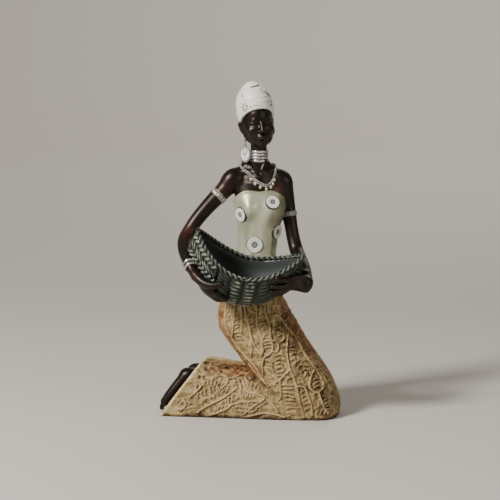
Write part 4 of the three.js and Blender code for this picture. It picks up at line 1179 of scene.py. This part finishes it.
# The relief of the display side. Veins are paths in x and z. A patch is a row of short bowed
# strokes: its first stroke and the step to the next in x and z, how many, and the angle of each in
# degrees, its half length and its bow.
display = {
    "veins": [
        [[11.4, 93], [12.6, 84.7], [15.6, 76.1], [16.3, 67.7], [18, 60.7], [17.5, 55.9], [14.6, 52.7],
         [11.6, 50.4], [10.1, 44], [10.6, 36.8]],
        [[15, 70.5], [11.6, 68.5], [9.6, 64.5], [9.8, 59.7], [10.6, 56.5], [9.6, 53.3]],
        [[11.1, 63.5], [14.6, 64.3], [18.6, 64.2], [22, 61.8], [22.5, 57.7], [20.6, 55.2], [18, 56.2]],
        [[22.6, 67.8], [25.5, 68.9], [27.1, 66], [25, 63.3]],
        [[30.1, 69.1], [29.5, 63], [29.2, 54.7], [30.5, 46.8], [32.5, 40], [35, 34], [37.5, 27.1],
         [39.5, 17.7], [41.5, 8.5], [43.1, 2.5]],
        [[31, 40.5], [27.5, 36.9], [24, 32.9], [21.1, 31.1], [19.6, 27.9]],
        [[24, 32.9], [24.6, 26.2], [24.8, 18.9], [22.6, 16]],
        [[12.6, 40], [16.4, 37.1], [19.6, 35.2], [22.6, 32.8]],
        [[37.4, 28.1], [43.4, 27], [45.9, 21], [48.5, 14], [50, 4.7]],
        [[51.7, 40.1], [48.6, 35.2], [47.4, 27.8], [51.4, 22.9], [55.5, 23.2], [58.7, 26.4], [57.7, 31.2],
         [54.7, 36.1], [51.7, 40.1]],
        [[54.5, 22.5], [56.5, 16.7], [59.5, 9.5], [62.6, 5]],
        [[21.6, 84.2], [29.6, 73.2], [36.7, 63.9], [43.7, 51.9], [50.7, 42], [56.7, 36.1], [61.9, 28.1],
         [64.8, 21.1]],
        [[44.2, 51], [48.8, 45.8], [55.9, 39.4], [64.7, 29.2], [69.6, 20]],
        [[-12, 94], [-12.4, 86.3], [-12.9, 77.3], [-14, 65.4]],
        [[-6.6, 96], [-6.9, 87.7], [-6.4, 77.9], [-6.9, 69.8]],
        [[-4.6, 92], [-3.4, 84.9], [-0.4, 74.2], [1.6, 65.2], [4.6, 58.2], [9.6, 52.3]],
        [[5, 94], [5.1, 87], [5.6, 76.4], [8, 70.4], [9.6, 63.5]],
        [[0.6, 65.1], [1.6, 56.9], [0.6, 50.7]],
        [[-19, 92], [-19.3, 84.7], [-19, 74.1], [-13.7, 63.2], [-5.6, 52.4], [3.6, 42.8], [13.6, 27.8]],
        [[-42.6, 4], [-34.6, 9.3], [-22.5, 15.6], [-16.5, 19.6], [-10.4, 24.4]],
        [[-36, 1.2], [-30.5, 2.6], [-18.5, 7.8], [-14.4, 11.3], [-4.4, 13.8], [9.6, 14.6]],
        [[-4.9, 3.8], [1.6, 9.6], [11.6, 16.6], [5.6, 20.2], [-1.4, 21]],
        [[-48.7, 15.8], [-42.7, 20.8], [-37.6, 26.6]],
        [[-53.7, 14.8], [-51.7, 9.8], [-55.7, 5.6]],
        [[-8.4, 28.1], [-7.4, 23.6], [-8.4, 18.9]],
        [[-5.4, 28.4], [-2.4, 21.9], [1.6, 20.8]],
        [[-4.4, 1.5], [3.6, 3.6], [11.6, 5.3], [21.6, 4.1], [27.6, 2.2]],
        [[-0.8, 43.2], [7.6, 33.3], [14.7, 25.8]],
        [[17.6, 13.3], [20.4, 9.7], [22.6, 6.2]],
        [[-30, 30], [-24, 33], [-16, 31], [-9, 33]],
        [[-22, 24], [-18, 28.6], [-20, 33]],
    ],
    "patches": [
        [23.2, 52.4, 0.35, -3.3, 6, 4, 3.2, 0.9], [34, 59.4, 0.2, -3.4, 4, -6, 2.2, 0.5],
        [29.4, 28.6, 0.7, -3.1, 8, 2, 4, 0.5], [42.6, 23.6, 0.8, -3.4, 5, 24, 1.9, 0.5],
        [45, 46.6, 0.9, -3.6, 4, -30, 2.2, 0.9], [13.6, 66.4, 0.1, -2.7, 4, 8, 2.3, 0.7],
        [21.4, 75.4, 0.6, -3.1, 2, 0, 3, 1.1], [15.6, 47.4, 0.6, -3.4, 3, -34, 2.6, 0.6],
        [52.6, 33, 0.2, -3.3, 3, 12, 2, 0.4], [-17.4, 91, -0.1, -3.1, 5, 55, 1.2, 0.3],
        [-7.6, 19.4, 2.1, 0.1, 8, 82, 2.1, 0.2], [-14.6, 14.6, 2.1, 1.1, 4, 58, 1.9, 0.5],
        [-9.6, 9.6, 2.7, -0.3, 5, 14, 1.5, 0.4], [-7.6, 6.4, 2.9, -0.2, 4, -8, 1.5, 0.4],
        [-43, 24.4, 3.2, 1.3, 6, 74, 1.7, 0.5], [-41.6, 17.6, 3.2, 1.5, 8, 98, 1.8, 0.6],
        [-38.4, 12.6, 3.3, 1.6, 7, 62, 1.5, 0.6], [-58, 12.4, 3.2, -0.6, 4, 34, 1.6, 0.5],
        [-57, 6.8, 3.3, 0.2, 5, 12, 1.4, 0.4], [12.6, 20, 2.6, -2.3, 4, -36, 1.8, 0.5],
        [1.4, 5, 2.7, 2.1, 5, 24, 1.6, 0.3], [-22, 12, 2.9, 1.9, 4, 78, 1.7, 0.5],
        [-28, 6.4, 3.1, 1.1, 4, 62, 1.5, 0.4], [24, 43, 2.4, -3, 4, 30, 2.1, 0.6],
        [35, 50, 2.4, -3.2, 5, 36, 1.9, 0.5], [10, 80, 0.8, -3.2, 4, 12, 1.7, 0.5],
        [0, 84, 0.6, -3.2, 4, 18, 1.4, 0.4], [-11, 80, 0.4, -3.4, 5, 20, 1.6, 0.4],
        [26, 84, 1.4, -2.8, 4, 24, 1.8, 0.6], [60, 16, 0.8, -2.6, 4, 8, 1.7, 0.4],
        [54, 7.6, 3.1, -0.5, 4, 62, 1.7, 0.5], [33.6, 6.4, 0.3, -1.9, 2, 4, 3.2, 0.3],
        [-26, 20.6, 2.9, 1.4, 6, 40, 1.6, 0.7], [-14, 27, 2.8, 0.9, 5, 118, 1.7, 0.7],
        [2, 27.4, 2.4, -1.6, 4, 60, 1.7, 0.5], [-30, 26.4, 3.1, 0.7, 5, 70, 1.5, 0.6],
    ],
    "tintAndShade": [
        [[29, -10, 84], [8, 16, 12], 1.0], [[38, -12, 70], [8, 14, 14], 1.1],
        [[49, -12, 54], [7, 12, 12], 1.0], [[-24, -10, 84], [5, 14, 14], 1.0],
        [[-16, -12, 62], [5, 12, 12], 0.95], [[-6, -14, 48], [6, 12, 9], 0.95],
        [[4, -18, 38], [6, 10, 7], 0.8], [[-8, -10, 37], [22, 18, 6], 1.1],
        [[66, -8, 34], [8, 14, 12], 0.35], [[10, -24, 28], [6, 8, 5], 0.5],
    ],
}


# The paths of all strokes of the patches, each as three rows of x and z.
def strokePaths():
    paths = []
    rng = np.random.default_rng(skirt["seed"] + 3)
    for x, z, dx, dz, count, angle, half, bow in display["patches"]:
        for k in range(count):
            turn = np.radians(angle + rng.uniform(-13, 13))
            c, s = np.cos(turn), np.sin(turn)
            at = np.array([x + dx * k, z + dz * k]) + rng.uniform(-0.5, 0.5, 2)
            along = np.array([c, s]) * half * rng.uniform(0.7, 1.2)
            up = np.array([-s, c]) * bow * rng.uniform(0.5, 1.5)
            paths.append([at - along, at + up, at + along])
    return paths


# The skirt: its smooth base moved along its normals by the relief, less near the ground, the waist,
# the hem and the knees and where it faces down. Relief and paint come from the same parts: raised
# veins and strokes (drawn ones on the display side, worked out ones mostly elsewhere), a net of fine
# ridges, pits, crust, and a painted shadow: dark paint beside what is raised, shifted to the right
# and down beside the drawn ones.
def makeSkirt():
    points, quads = makeSkirtBase()
    along, across, z = points.T
    share, forward, half, deep = lapPlace(along, z)
    turn = np.arctan2(across / deep, forward / half)
    high, wide = (np.interp(along, trainTable[:, 0], trainTable[:, k]) for k in (1, 2))
    arch = np.arctan2(z / high, across / wide)
    nearLap = np.hypot(forward / half, across / deep) - 1
    nearTrain = np.hypot(z / high, across / wide) - 1
    onTrain = ramp(-0.03, 0.03, nearLap - nearTrain)
    down, around = share * skirt["lapCloth"][0], turn / (2 * np.pi) * skirt["lapCloth"][1]
    lapVein, lapComb = veins(down, around, *skirt["lapCloth"], skirt["seed"])
    slanted = arch * 38 + 0.1 * (along + 70)
    trainVein, trainComb = veins(along + 72, slanted, *skirt["trainCloth"], skirt["seed"] + 1)
    normal = normalsOf(points, quads)
    placed, facing = points @ legAxes, (normal @ legAxes)[:, 1]
    shown = ramp(0.05, -0.35, facing)
    front = frontOf(placed)
    ridges, strokeHigh, paintedShadow = (np.zeros(len(points)) for _ in range(3))
    drawn = [(rows, skirt["pathHalf"], ridges) for rows in display["veins"]]
    drawn += [(rows, skirt["strokeHalf"], strokeHigh) for rows in strokePaths()]
    for rows, thick, target in drawn:
        path = smoothRows(rows, np.linspace(0, 1, 6 * (len(rows) - 1) + 1))
        path = np.column_stack([path[:, 0], front(path[:, 0], path[:, 1]) + 0.2, path[:, 1]])
        np.maximum(target, np.exp(-((toChain(placed, path, 3) / thick) ** 2)), out=target)
        # Painted shadow: dark paint beside each drawn vein and stroke, shifted to the right and down by
        # shadowOff.
        beside = toChain(placed, path + skirt["shadowOff"], 3) / (1.45 * thick)
        np.maximum(paintedShadow, np.exp(-(beside**2)), out=paintedShadow)
    filler = 1 - 0.8 * shown
    vein = (lapVein + (trainVein - lapVein) * onTrain) * filler
    comb = lapComb * filler + (trainComb * (1 - 0.25 * shown) - lapComb * filler) * onTrain
    comb = comb * (1 - ridges)
    # Painted shade on the flanks of the worked-out veins, and round the combs on the train.
    paintedShadow = np.maximum(paintedShadow, 0.7 * np.exp(-((np.maximum(0, 1 - vein) / 0.8) ** 2)) * filler)
    paintedShadow = np.maximum(paintedShadow, 0.6 * onTrain * ramp(0.05, 0.4, comb))
    rng = np.random.default_rng(skirt["seed"] + 2)
    pits = np.zeros(len(points))
    for spot, size in zip(points[rng.integers(0, len(points), 170)], rng.uniform(0.45, 0.9, 170)):
        keep = np.flatnonzero((np.abs(points - spot) < 2.2 * size).all(1))
        pits[keep] = np.maximum(pits[keep], np.exp(-(((points[keep] - spot) ** 2).sum(1) / size**2)))
    raised = np.maximum(np.maximum(ridges, vein), 0.72 * np.maximum(strokeHigh, comb))
    rough = 0.2 * lumps(points, 2.6, 3) + 0.13 * lumps(points, 1.3, 4)
    trainCrust = ramp(24, 31, z) * onTrain * shown
    lapCrust = 0.7 * ramp(24, 34, along + 0.55 * z - 28) * (1 - onTrain) * shown
    crust = ramp(0.05, 0.5, lumps(points, 2.1, 12)) * np.maximum(trainCrust, lapCrust)
    nets = [np.exp(-((lumps(points, size, seed) / 0.13) ** 2)) for size, seed in ((6.4, 31), (4.2, 32))]
    net = np.maximum(*nets) * (1 - raised)
    relief = skirt["veinHigh"] * raised + skirt["netHigh"] * net - 0.5 * pits * (1 - raised)
    relief = relief + rough + 0.7 * crust * (1 - raised)
    hemGap = np.where(along < -30, np.abs(pastHem(along, z)), 99)
    level = ramp(0.2, 1.6, z) * ramp(-0.4, -0.1, normal[:, 2] + 0.55) * (1 - ramp(119.5, 121, z))
    level = level * ramp(0.2, 2.4, hemGap) * (1 - 0.65 * ramp(60, 72, along))
    points = points + normal * (relief * level - 0.35 * level)[:, None]
    points[:, 2] = np.maximum(points[:, 2], 0)
    pale = ramp(2.6, 0.6, hemGap)
    # Painted shade in the crease where the lap meets the train, on the display side.
    crease = np.exp(-(((nearLap - nearTrain) / 0.07) ** 2)) * ramp(34, 22, along) * shown
    # How dark the painted shadow is painted, varying from place to place.
    shadowStrength = 0.5 + 0.3 * lumps(points, 9, 8) + 0.25 * crust
    tone = 0.7 * raised - 0.7 * pits - shadowStrength * np.maximum(0, paintedShadow - raised) * 2.6
    tone = tone - 0.24 * (1 - paintedShadow) * (1 + lumps(points, 2.2, 9)) * (1 - net)
    tone = tone + 0.3 * net * (1 - paintedShadow) - 0.75 * crust - 0.6 * crease + 0.13 * lumps(points, 1.3, 14)
    tone = tone - 1.05 * ramp(3.6, 0.4, z + 1.3 * lumps(points, 5, 13)) * (1 - pale) + 1.2 * pale
    tintAndShade = patches(placed, display["tintAndShade"])
    tintAndShade = np.clip(tintAndShade * (1 - 0.6 * raised) + 0.12 * lumps(points, 12, 5), 0, 1)
    return {"points": points @ legAxes, "faces": [quads], "tones": tone, "tintAndShade": tintAndShade}


# A shape's faces whose first corner is marked, with only the points that they use.
def partOf(shape, marked):
    faces = shape["faces"][0]
    faces = faces[marked[faces[:, 0]]]
    used = np.unique(faces)
    number = np.zeros(len(shape["points"]), int)
    number[used] = np.arange(len(used))
    part = {key: shape[key][used] for key in ("points", "tones", "tintAndShade")}
    return {**part, "faces": [number[faces]]}


# A foot: rows along the leg frame, and its toes. The sole faces away, the toes rest on the ground.
foot = {
    "sole": [[-43, -6, 29, 4.6], [-49.6, -7, 30, 5.2], [-56, -8, 23.4, 4.8], [-63, -9, 14.4, 4.6],
     [-68, -9.6, 8, 3.8]],
    "wide": 1.25, "toes": 5, "toeRadius": 1.7, "toeY": -9.6, "toeApart": 2.35, "farShift": [3, 19, 0],
    "heel": [[-51.5, -7.2, 30], [5.4, 5.4, 5.2]], "lowZ": 0.02, "step": 0.5,
}


# Both feet. Each is two limbs that spread towards the toes, the toes in a row with the big one
# first, and a ball for the heel, cut off level just above the ground.
def makeFeet():
    shapes = []
    for k, shift in enumerate(([0, 0, 0], foot["farShift"])):
        field = newField([-80, -22, -1.5], [-34, 8, 40], foot["step"])
        for apart in (-foot["wide"], foot["wide"]):
            rows = [[x, y + apart * (0.6 + 0.5 * i), z, r] for i, (x, y, z, r) in enumerate(foot["sole"])]
            addLimb(field, rows, 2.0)
        for toe in range(foot["toes"]):
            side = (toe - 2) * (1 if k else -1)
            thick = foot["toeRadius"] * (1.25 if toe == 0 else 1 - 0.06 * toe)
            y = foot["toeY"] + side * foot["toeApart"]
            tip = [-72.2 + 0.3 * toe, y, 2.6, thick * 0.95]
            addLimb(field, [[-67.2, y, 9, thick], [-70.6, y, 5.4, thick], tip], 0.5)
        addBall(field, *foot["heel"], 1.5)
        cut, _, _, z = wholeOf(field)
        blendIn(field, cut, z - foot["lowZ"], 0, True)
        points, quads = surfaceOf(field, 2)
        points[:, 2] = np.maximum(points[:, 2], 0)
        shapes.append(netOf((points + shift) @ legAxes, quads))
    return together(shapes)


# The silver jewellery that is moulded on: bands round the neck, the necklace, armlets, bracelets.
# Bands of the arms: share of the arm's length, half width, height, beads. Chain: x and z.
jewels = {
    "choker": {"x": 7.3, "y": 1.2, "low": 204, "high": 213.8, "bands": 4, "radius": 7.4, "inner": 5.5},
    "rightBands": [[0.238, 2.4, 0.9, 15], [0.884, 1.1, 0.9, 0], [0.908, 1.1, 0.9, 0]],
    "leftBands": [[0.345, 2.0, 0.8, 13]],
    "chain": {
        "path": [
            [-6.4, 203.4], [-7.4, 201], [-4.6, 198.2], [-1.5, 195.7], [1.4, 192.8], [4, 190.3], [7, 188.2],
            [10.3, 186.6], [13.2, 185.8], [15.8, 186.4], [17.6, 188.4], [18.9, 191], [19.8, 194.4],
            [20.4, 197.6], [20.6, 200],
        ],
        "bead": 0.62, "pendants": [0.27, 0.36, 0.46, 0.57, 0.68, 0.76, 0.83],
    },
}


# A ball stretched to three half sizes, as a grid of points that stops just short of both poles.
def ballGrid(half, rows, columns):
    a, b = np.meshgrid(np.linspace(-1.45, 1.45, rows), onceRound(columns), indexing="ij")
    return np.stack([np.cos(a) * np.cos(b), np.cos(a) * np.sin(b), np.sin(a)], -1) * half


# A band round a limb: a rounded profile swept round the limb at a share of its length, with beads
# as |cos| of the angle times half their number.
def bandOn(rows, share, halfWide, proud, beads):
    here, near, far = smoothRows(rows, [share, share - 0.01, share + 0.01])
    ahead = unit(far[:3] - near[:3])
    side = unit(np.cross(ahead, [0.0, 1, 0.01]))
    angle = onceRound(130)
    around = circle(angle, side, np.cross(ahead, side))
    s = np.linspace(-1, 1, 17)[:, None]
    swell = proud * (0.3 + 0.7 * np.abs(np.cos(angle * beads / 2)) ** 0.7 * np.exp(-((s / 0.5) ** 4)))
    lift = np.where(np.abs(s) > 0.7, proud, swell) * np.sqrt(np.maximum(0, 1 - np.abs(s) ** 8))
    outer = here[:3] + s[..., None] * halfWide * ahead + (here[3] + 0.05 + lift)[..., None] * around
    inner = here[:3] + np.array([1, -1])[:, None, None] * halfWide * 0.9 * ahead + (here[3] - 1) * around
    tone = -np.clip(1.2 - lift / proud * 1.5, 0, 1)
    tone = np.concatenate([tone, np.full((2, len(angle)), -1.0)])
    return facedOut(ringOf(np.concatenate([outer, inner]), tone))


# The bands round the neck: a tube whose radius swells once for each band, and two rings inside it
# that close its wall.
def makeChoker():
    c = jewels["choker"]
    s = np.linspace(0, 1, 53)
    wave = np.abs(np.sin(np.pi * c["bands"] * s))
    radius = c["radius"] + 0.1 - 0.6 * (1 - wave**0.6)
    z = c["low"] + (c["high"] - c["low"]) * s
    around = circle(onceRound(96), np.array([1.0, 0, 0]), np.array([0, 1.0, 0]))
    levels = np.column_stack([0 * z + c["x"], 0 * z + c["y"], z])
    outer = radius[:, None, None] * around + levels[:, None]
    inner = np.stack([c["inner"] * around + [c["x"], c["y"], c[end]] for end in ("high", "low")])
    tone = np.concatenate([-0.65 * ramp(0.8, 0.2, wave), [-1, -1]])
    return facedOut(ringOf(np.concatenate([outer, inner]), tone[:, None]))


# The chain lies on the skin: its path in x and z takes its depth from the chest and closes round the
# nape. Its links stand at even steps in two rows, turned outwards and leaning to both sides.
def makeNecklace(chest):
    c = jewels["chain"]
    rows = smoothRows(c["path"], np.linspace(0, 1, 240))
    depth = chest(rows[:, 0], rows[:, 1])
    for _ in range(40):
        depth[1:-1] = (depth[1:-1] * 2 + depth[:-2] + depth[2:]) / 4
    front = np.column_stack([rows[:, 0], depth - 0.3, rows[:, 1]])
    angle = np.linspace(0.1, np.pi - 0.1, 60)
    nape = [7.3 + 12.4 * np.cos(angle), 3 + 7.2 * np.sin(angle), 200.8 + 1.1 * (1 - np.cos(angle))]
    path = np.vstack([front, np.column_stack(nape), front[:1]])
    for _ in range(6):
        path[1:-1] = (path[1:-1] * 2 + path[:-2] + path[2:]) / 4
    length = np.concatenate([[0], np.cumsum(np.linalg.norm(np.diff(path, axis=0), axis=1))])

    def onPath(at):  # places by their length along the path
        return np.stack([np.interp(at, length, path[:, k]) for k in range(3)], 1)

    count = int(length[-1] / (2 * c["bead"] * 1.12))
    at = (np.arange(count) + 0.5) * length[-1] / count
    spots = onPath(at)
    ahead = unit(onPath(at + 0.2) - onPath(at - 0.2))
    out = unit((spots - [7.3, 3.6, 0]) * [1, 1.4, 0])
    out = unit(out - ahead * (out * ahead).sum(1, keepdims=True))
    across = np.cross(ahead, out)
    link = ballGrid([1, 1, 1], 7, 8)
    # The links are painted grey, less dark on their outer faces as a painted highlight.
    linkGreyAndHighlight = -0.7 + 0.6 * ramp(-0.1, 0.6, link[..., 2])
    shapes = []
    for row in (-1, 1):
        lean = unit(ahead + 0.7 * row * across)
        axes = np.stack([lean, np.cross(out, lean), out], 1) * np.array([1.25, 0.5, 0.6])[None, :, None]
        for spot, own in zip(spots + out * 0.3 + across * row * 0.78, axes):
            shapes.append(facedOut(tubeOf(link @ own + spot, linkGreyAndHighlight)))
    bead = ballGrid([1.2, 0.9, 1.4], 9, 12)
    for share in c["pendants"]:
        x, y, z = front[int(share * 239)]
        hung = [x, min(y, float(chest(x, z - 3))) - 0.5, z - 2.9]
        shapes.append(facedOut(tubeOf(bead + hung, 0.6)))
        shapes.append(ringAt([hung[0], hung[1] + 0.1, hung[2] + 1.7], [0.5, 0, 0], [0, 0, 0.6], 0.2, 14, 6))
    return together(shapes)


# The earring: a thin oval hoop, in it a plate with a slot like a U, a drop in the slot, and small
# links up to the lobe.
earring = {
    "x": -3.8, "y": -4.2, "topZ": 223.7, "middleZ": 210.6, "halfWide": 3.9, "halfTall": 6.2, "wire": 0.42,
    "slotWide": 1.7, "slotTop": 4.7, "slotDeep": 4.8, "openFrom": 50, "links": 4,
}


# A wire ring: a small circle of the wire's radius, swept along the oval circle(s, a, b).
def ringAt(middle, a, b, wire, rows, columns):
    s, t = np.meshgrid(onceRound(rows), onceRound(columns), indexing="ij")
    a, b = np.asarray(a, float), np.asarray(b, float)
    outward = unit(circle(s, unit(a), unit(b)))
    section = circle(t, outward, unit(np.cross(a, b)))
    return facedOut(ringOf(np.array(middle) + circle(s, a, b) + wire * section))


# The plate is spanned between the slot's outline and the rim, and bulges as a half circle between
# them on both sides.
def makeEarring():
    e = earring
    middle = [e["x"], e["y"], e["middleZ"]]
    hoop = ringAt(middle, [e["halfWide"], 0, 0], [0, 0, e["halfTall"]], e["wire"], 96, 10)
    hoop["tones"] = hoop["tones"] - 0.7
    shapes = [hoop]
    t = np.linspace(0, 1, 80)
    opened = np.radians(e["openFrom"])
    angle = np.pi - opened + t * (np.pi + 2 * opened)
    rim = np.stack([e["halfWide"] * 0.93 * np.cos(angle), e["halfTall"] * 0.94 * np.sin(angle)], 1)
    slotZ = e["slotTop"] - e["slotDeep"] * np.sin(np.pi * t) ** 0.7
    slot = np.stack([-e["slotWide"] * np.cos(np.pi * t), slotZ], 1)
    share = np.linspace(0, 1, 14)
    plate = slot[None] + (rim - slot)[None] * share[:, None, None]
    bulge = 0.8 * np.sqrt(np.maximum(0, 1 - (2 * share - 1) ** 2))[:, None] * np.ones((1, len(t))) + 0.06
    edge = np.concatenate([[-1, -0.8], np.zeros(10), [-0.5, -1]])[:, None] * np.ones((1, len(t)))
    front = np.stack([plate[..., 0], -bulge, plate[..., 1]], -1)
    back = np.stack([plate[..., 0], bulge, plate[..., 1]], -1)[::-1]
    loop = np.concatenate([front, back]).transpose(1, 0, 2) + middle
    shapes.append(facedOut(tubeOf(loop, np.concatenate([edge, edge[::-1]]).T)))
    drop = ballGrid([1.25, 0.55, 2.5], 13, 20)
    drop[..., 0] *= 1 - 0.3 * drop[..., 2] / 2.5
    shapes.append(facedOut(tubeOf(drop + [e["x"], e["y"] - 0.15, e["middleZ"] + 2.7])))
    top, foot = e["topZ"], e["middleZ"] + e["halfTall"]
    tall = (top - foot) / e["links"]
    for k in range(e["links"]):
        wide = [0.9, 0, 0] if k % 2 == 0 else [0, 0.55, 0]
        link = ringAt([e["x"], e["y"], foot + tall * (k + 0.5)], wide, [0, 0, tall * 0.5], 0.38, 24, 8)
        link["tones"] = link["tones"] - 0.85
        shapes.append(link)
    return together(shapes)


print("modelling")
bodyShape = makeBody()
makePiece("skin", bodyShape, materials["skin"])
makePiece("headSkin", makeHead(), materials["skin"])
makePiece("feet", makeFeet(), materials["skin"])
makePiece("headWrap", makeWrap(), materials["wrap"])
makePiece("bodice", makeBodice(), materials["bodice"])
makePiece("bodiceDiscs", makeDiscs(), materials["discs"])
skirtShape = makeSkirt()
upper = skirtShape["points"][:, 2] > skirt["splitZ"]
makePiece("skirtUpper", partOf(skirtShape, upper), materials["skirt"])
makePiece("skirtLower", partOf(skirtShape, ~upper), materials["skirt"])
makePiece("basket", makeBasket(), materials["basket"])
makePiece("choker", makeChoker(), materials["silver"])
makePiece("necklace", makeNecklace(frontOf(bodyShape["points"])), materials["silver"])
armBands = [bandOn(body["rightArm"], *band) for band in jewels["rightBands"]]
armBands += [bandOn(body["leftArm"], *band) for band in jewels["leftBands"]]
makePiece("armBands", together(armBands), materials["silver"])
makePiece("earringMetal", makeEarring(), materials["earring"], node="earring")

print("stage")
# The floor runs flat to 2.4 m behind the piece, then sweeps up in a quarter circle to a wall.
bend = np.linspace(0, np.pi / 2, 40)
sweep = np.stack([2.4 + 2 * np.sin(bend), 2 * (1 - np.cos(bend))], 1)
profile = np.concatenate([[[-5, 0], [0, 0]], sweep, [[4.4, 5]]])
sides = np.array([-7.0, 7.0])
swept = np.stack([np.tile(sides, len(profile)), np.repeat(profile[:, 0], 2), np.repeat(profile[:, 1], 2)], 1)
floorMesh = bpy.data.meshes.new("floor")
floorMesh.from_pydata(swept.tolist(), [], gridFaces(len(profile), 2, closeColumns=False).tolist())
floorMesh.polygons.foreach_set("use_smooth", np.ones(len(floorMesh.polygons), bool))
floor = bpy.data.objects.new("floor", floorMesh)
bpy.context.collection.objects.link(floor)
floorLook = bpy.data.materials.new("floor")
floorLook.use_nodes = True
floorLook.node_tree.nodes["Principled BSDF"].inputs["Base Color"].default_value = (0.58, 0.55, 0.505, 1)
floorLook.node_tree.nodes["Principled BSDF"].inputs["Roughness"].default_value = 0.6
floorMesh.materials.append(floorLook)

world = bpy.data.worlds.new("studio")
world.use_nodes = True
world.node_tree.nodes["Background"].inputs["Color"].default_value = (0.6, 0.57, 0.53, 1)
world.node_tree.nodes["Background"].inputs["Strength"].default_value = 0.34
bpy.context.scene.world = world

# Soft lights: place in metres, size, power, colour.
lights = {
    "key": [(-0.95, -0.75, 1.05), 0.3, 36.0, (1.0, 0.97, 0.93)],
    "fill": [(0.95, -0.8, 0.5), 0.6, 3.2, (1.0, 0.92, 0.84)],
    "back": [(0.35, 1.0, 0.9), 0.7, 2.0, (1.0, 0.95, 0.9)],
    "wall": [(0.6, 1.4, 2.2), 1.2, 62.0, (1.0, 0.96, 0.9)],
}
aims = {"wall": (0.6, 4.4, 1.0)}
for name, (place, size, power, colour) in lights.items():
    lamp = bpy.data.lights.new(name, "AREA")
    lamp.size, lamp.energy, lamp.color = size, power, colour
    holder = bpy.data.objects.new(name, lamp)
    holder.location = place
    away = Vector(place) - Vector(aims.get(name, (0, 0, 0.13)))
    holder.rotation_euler = away.to_track_quat("Z", "Y").to_euler()
    bpy.context.collection.objects.link(holder)

# The camera: distance in metres, elevation in degrees, the height it looks at, and its lens.
shot = {"distance": 1.6, "elevation": 8.0, "lookZ": 0.1327, "lens": 142.7}
elevation = np.radians(shot["elevation"])
camera = bpy.data.objects.new("camera", bpy.data.cameras.new("camera"))
camera.data.lens = shot["lens"]
camera.data.sensor_width = 36
camera.location = (
    toRow[0] * 0.001,
    toRow[1] * 0.001 - shot["distance"] * np.cos(elevation),
    shot["lookZ"] + shot["distance"] * np.sin(elevation),
)
camera.rotation_euler = (np.pi / 2 - elevation, 0, 0)
bpy.context.collection.objects.link(camera)
bpy.context.scene.camera = camera
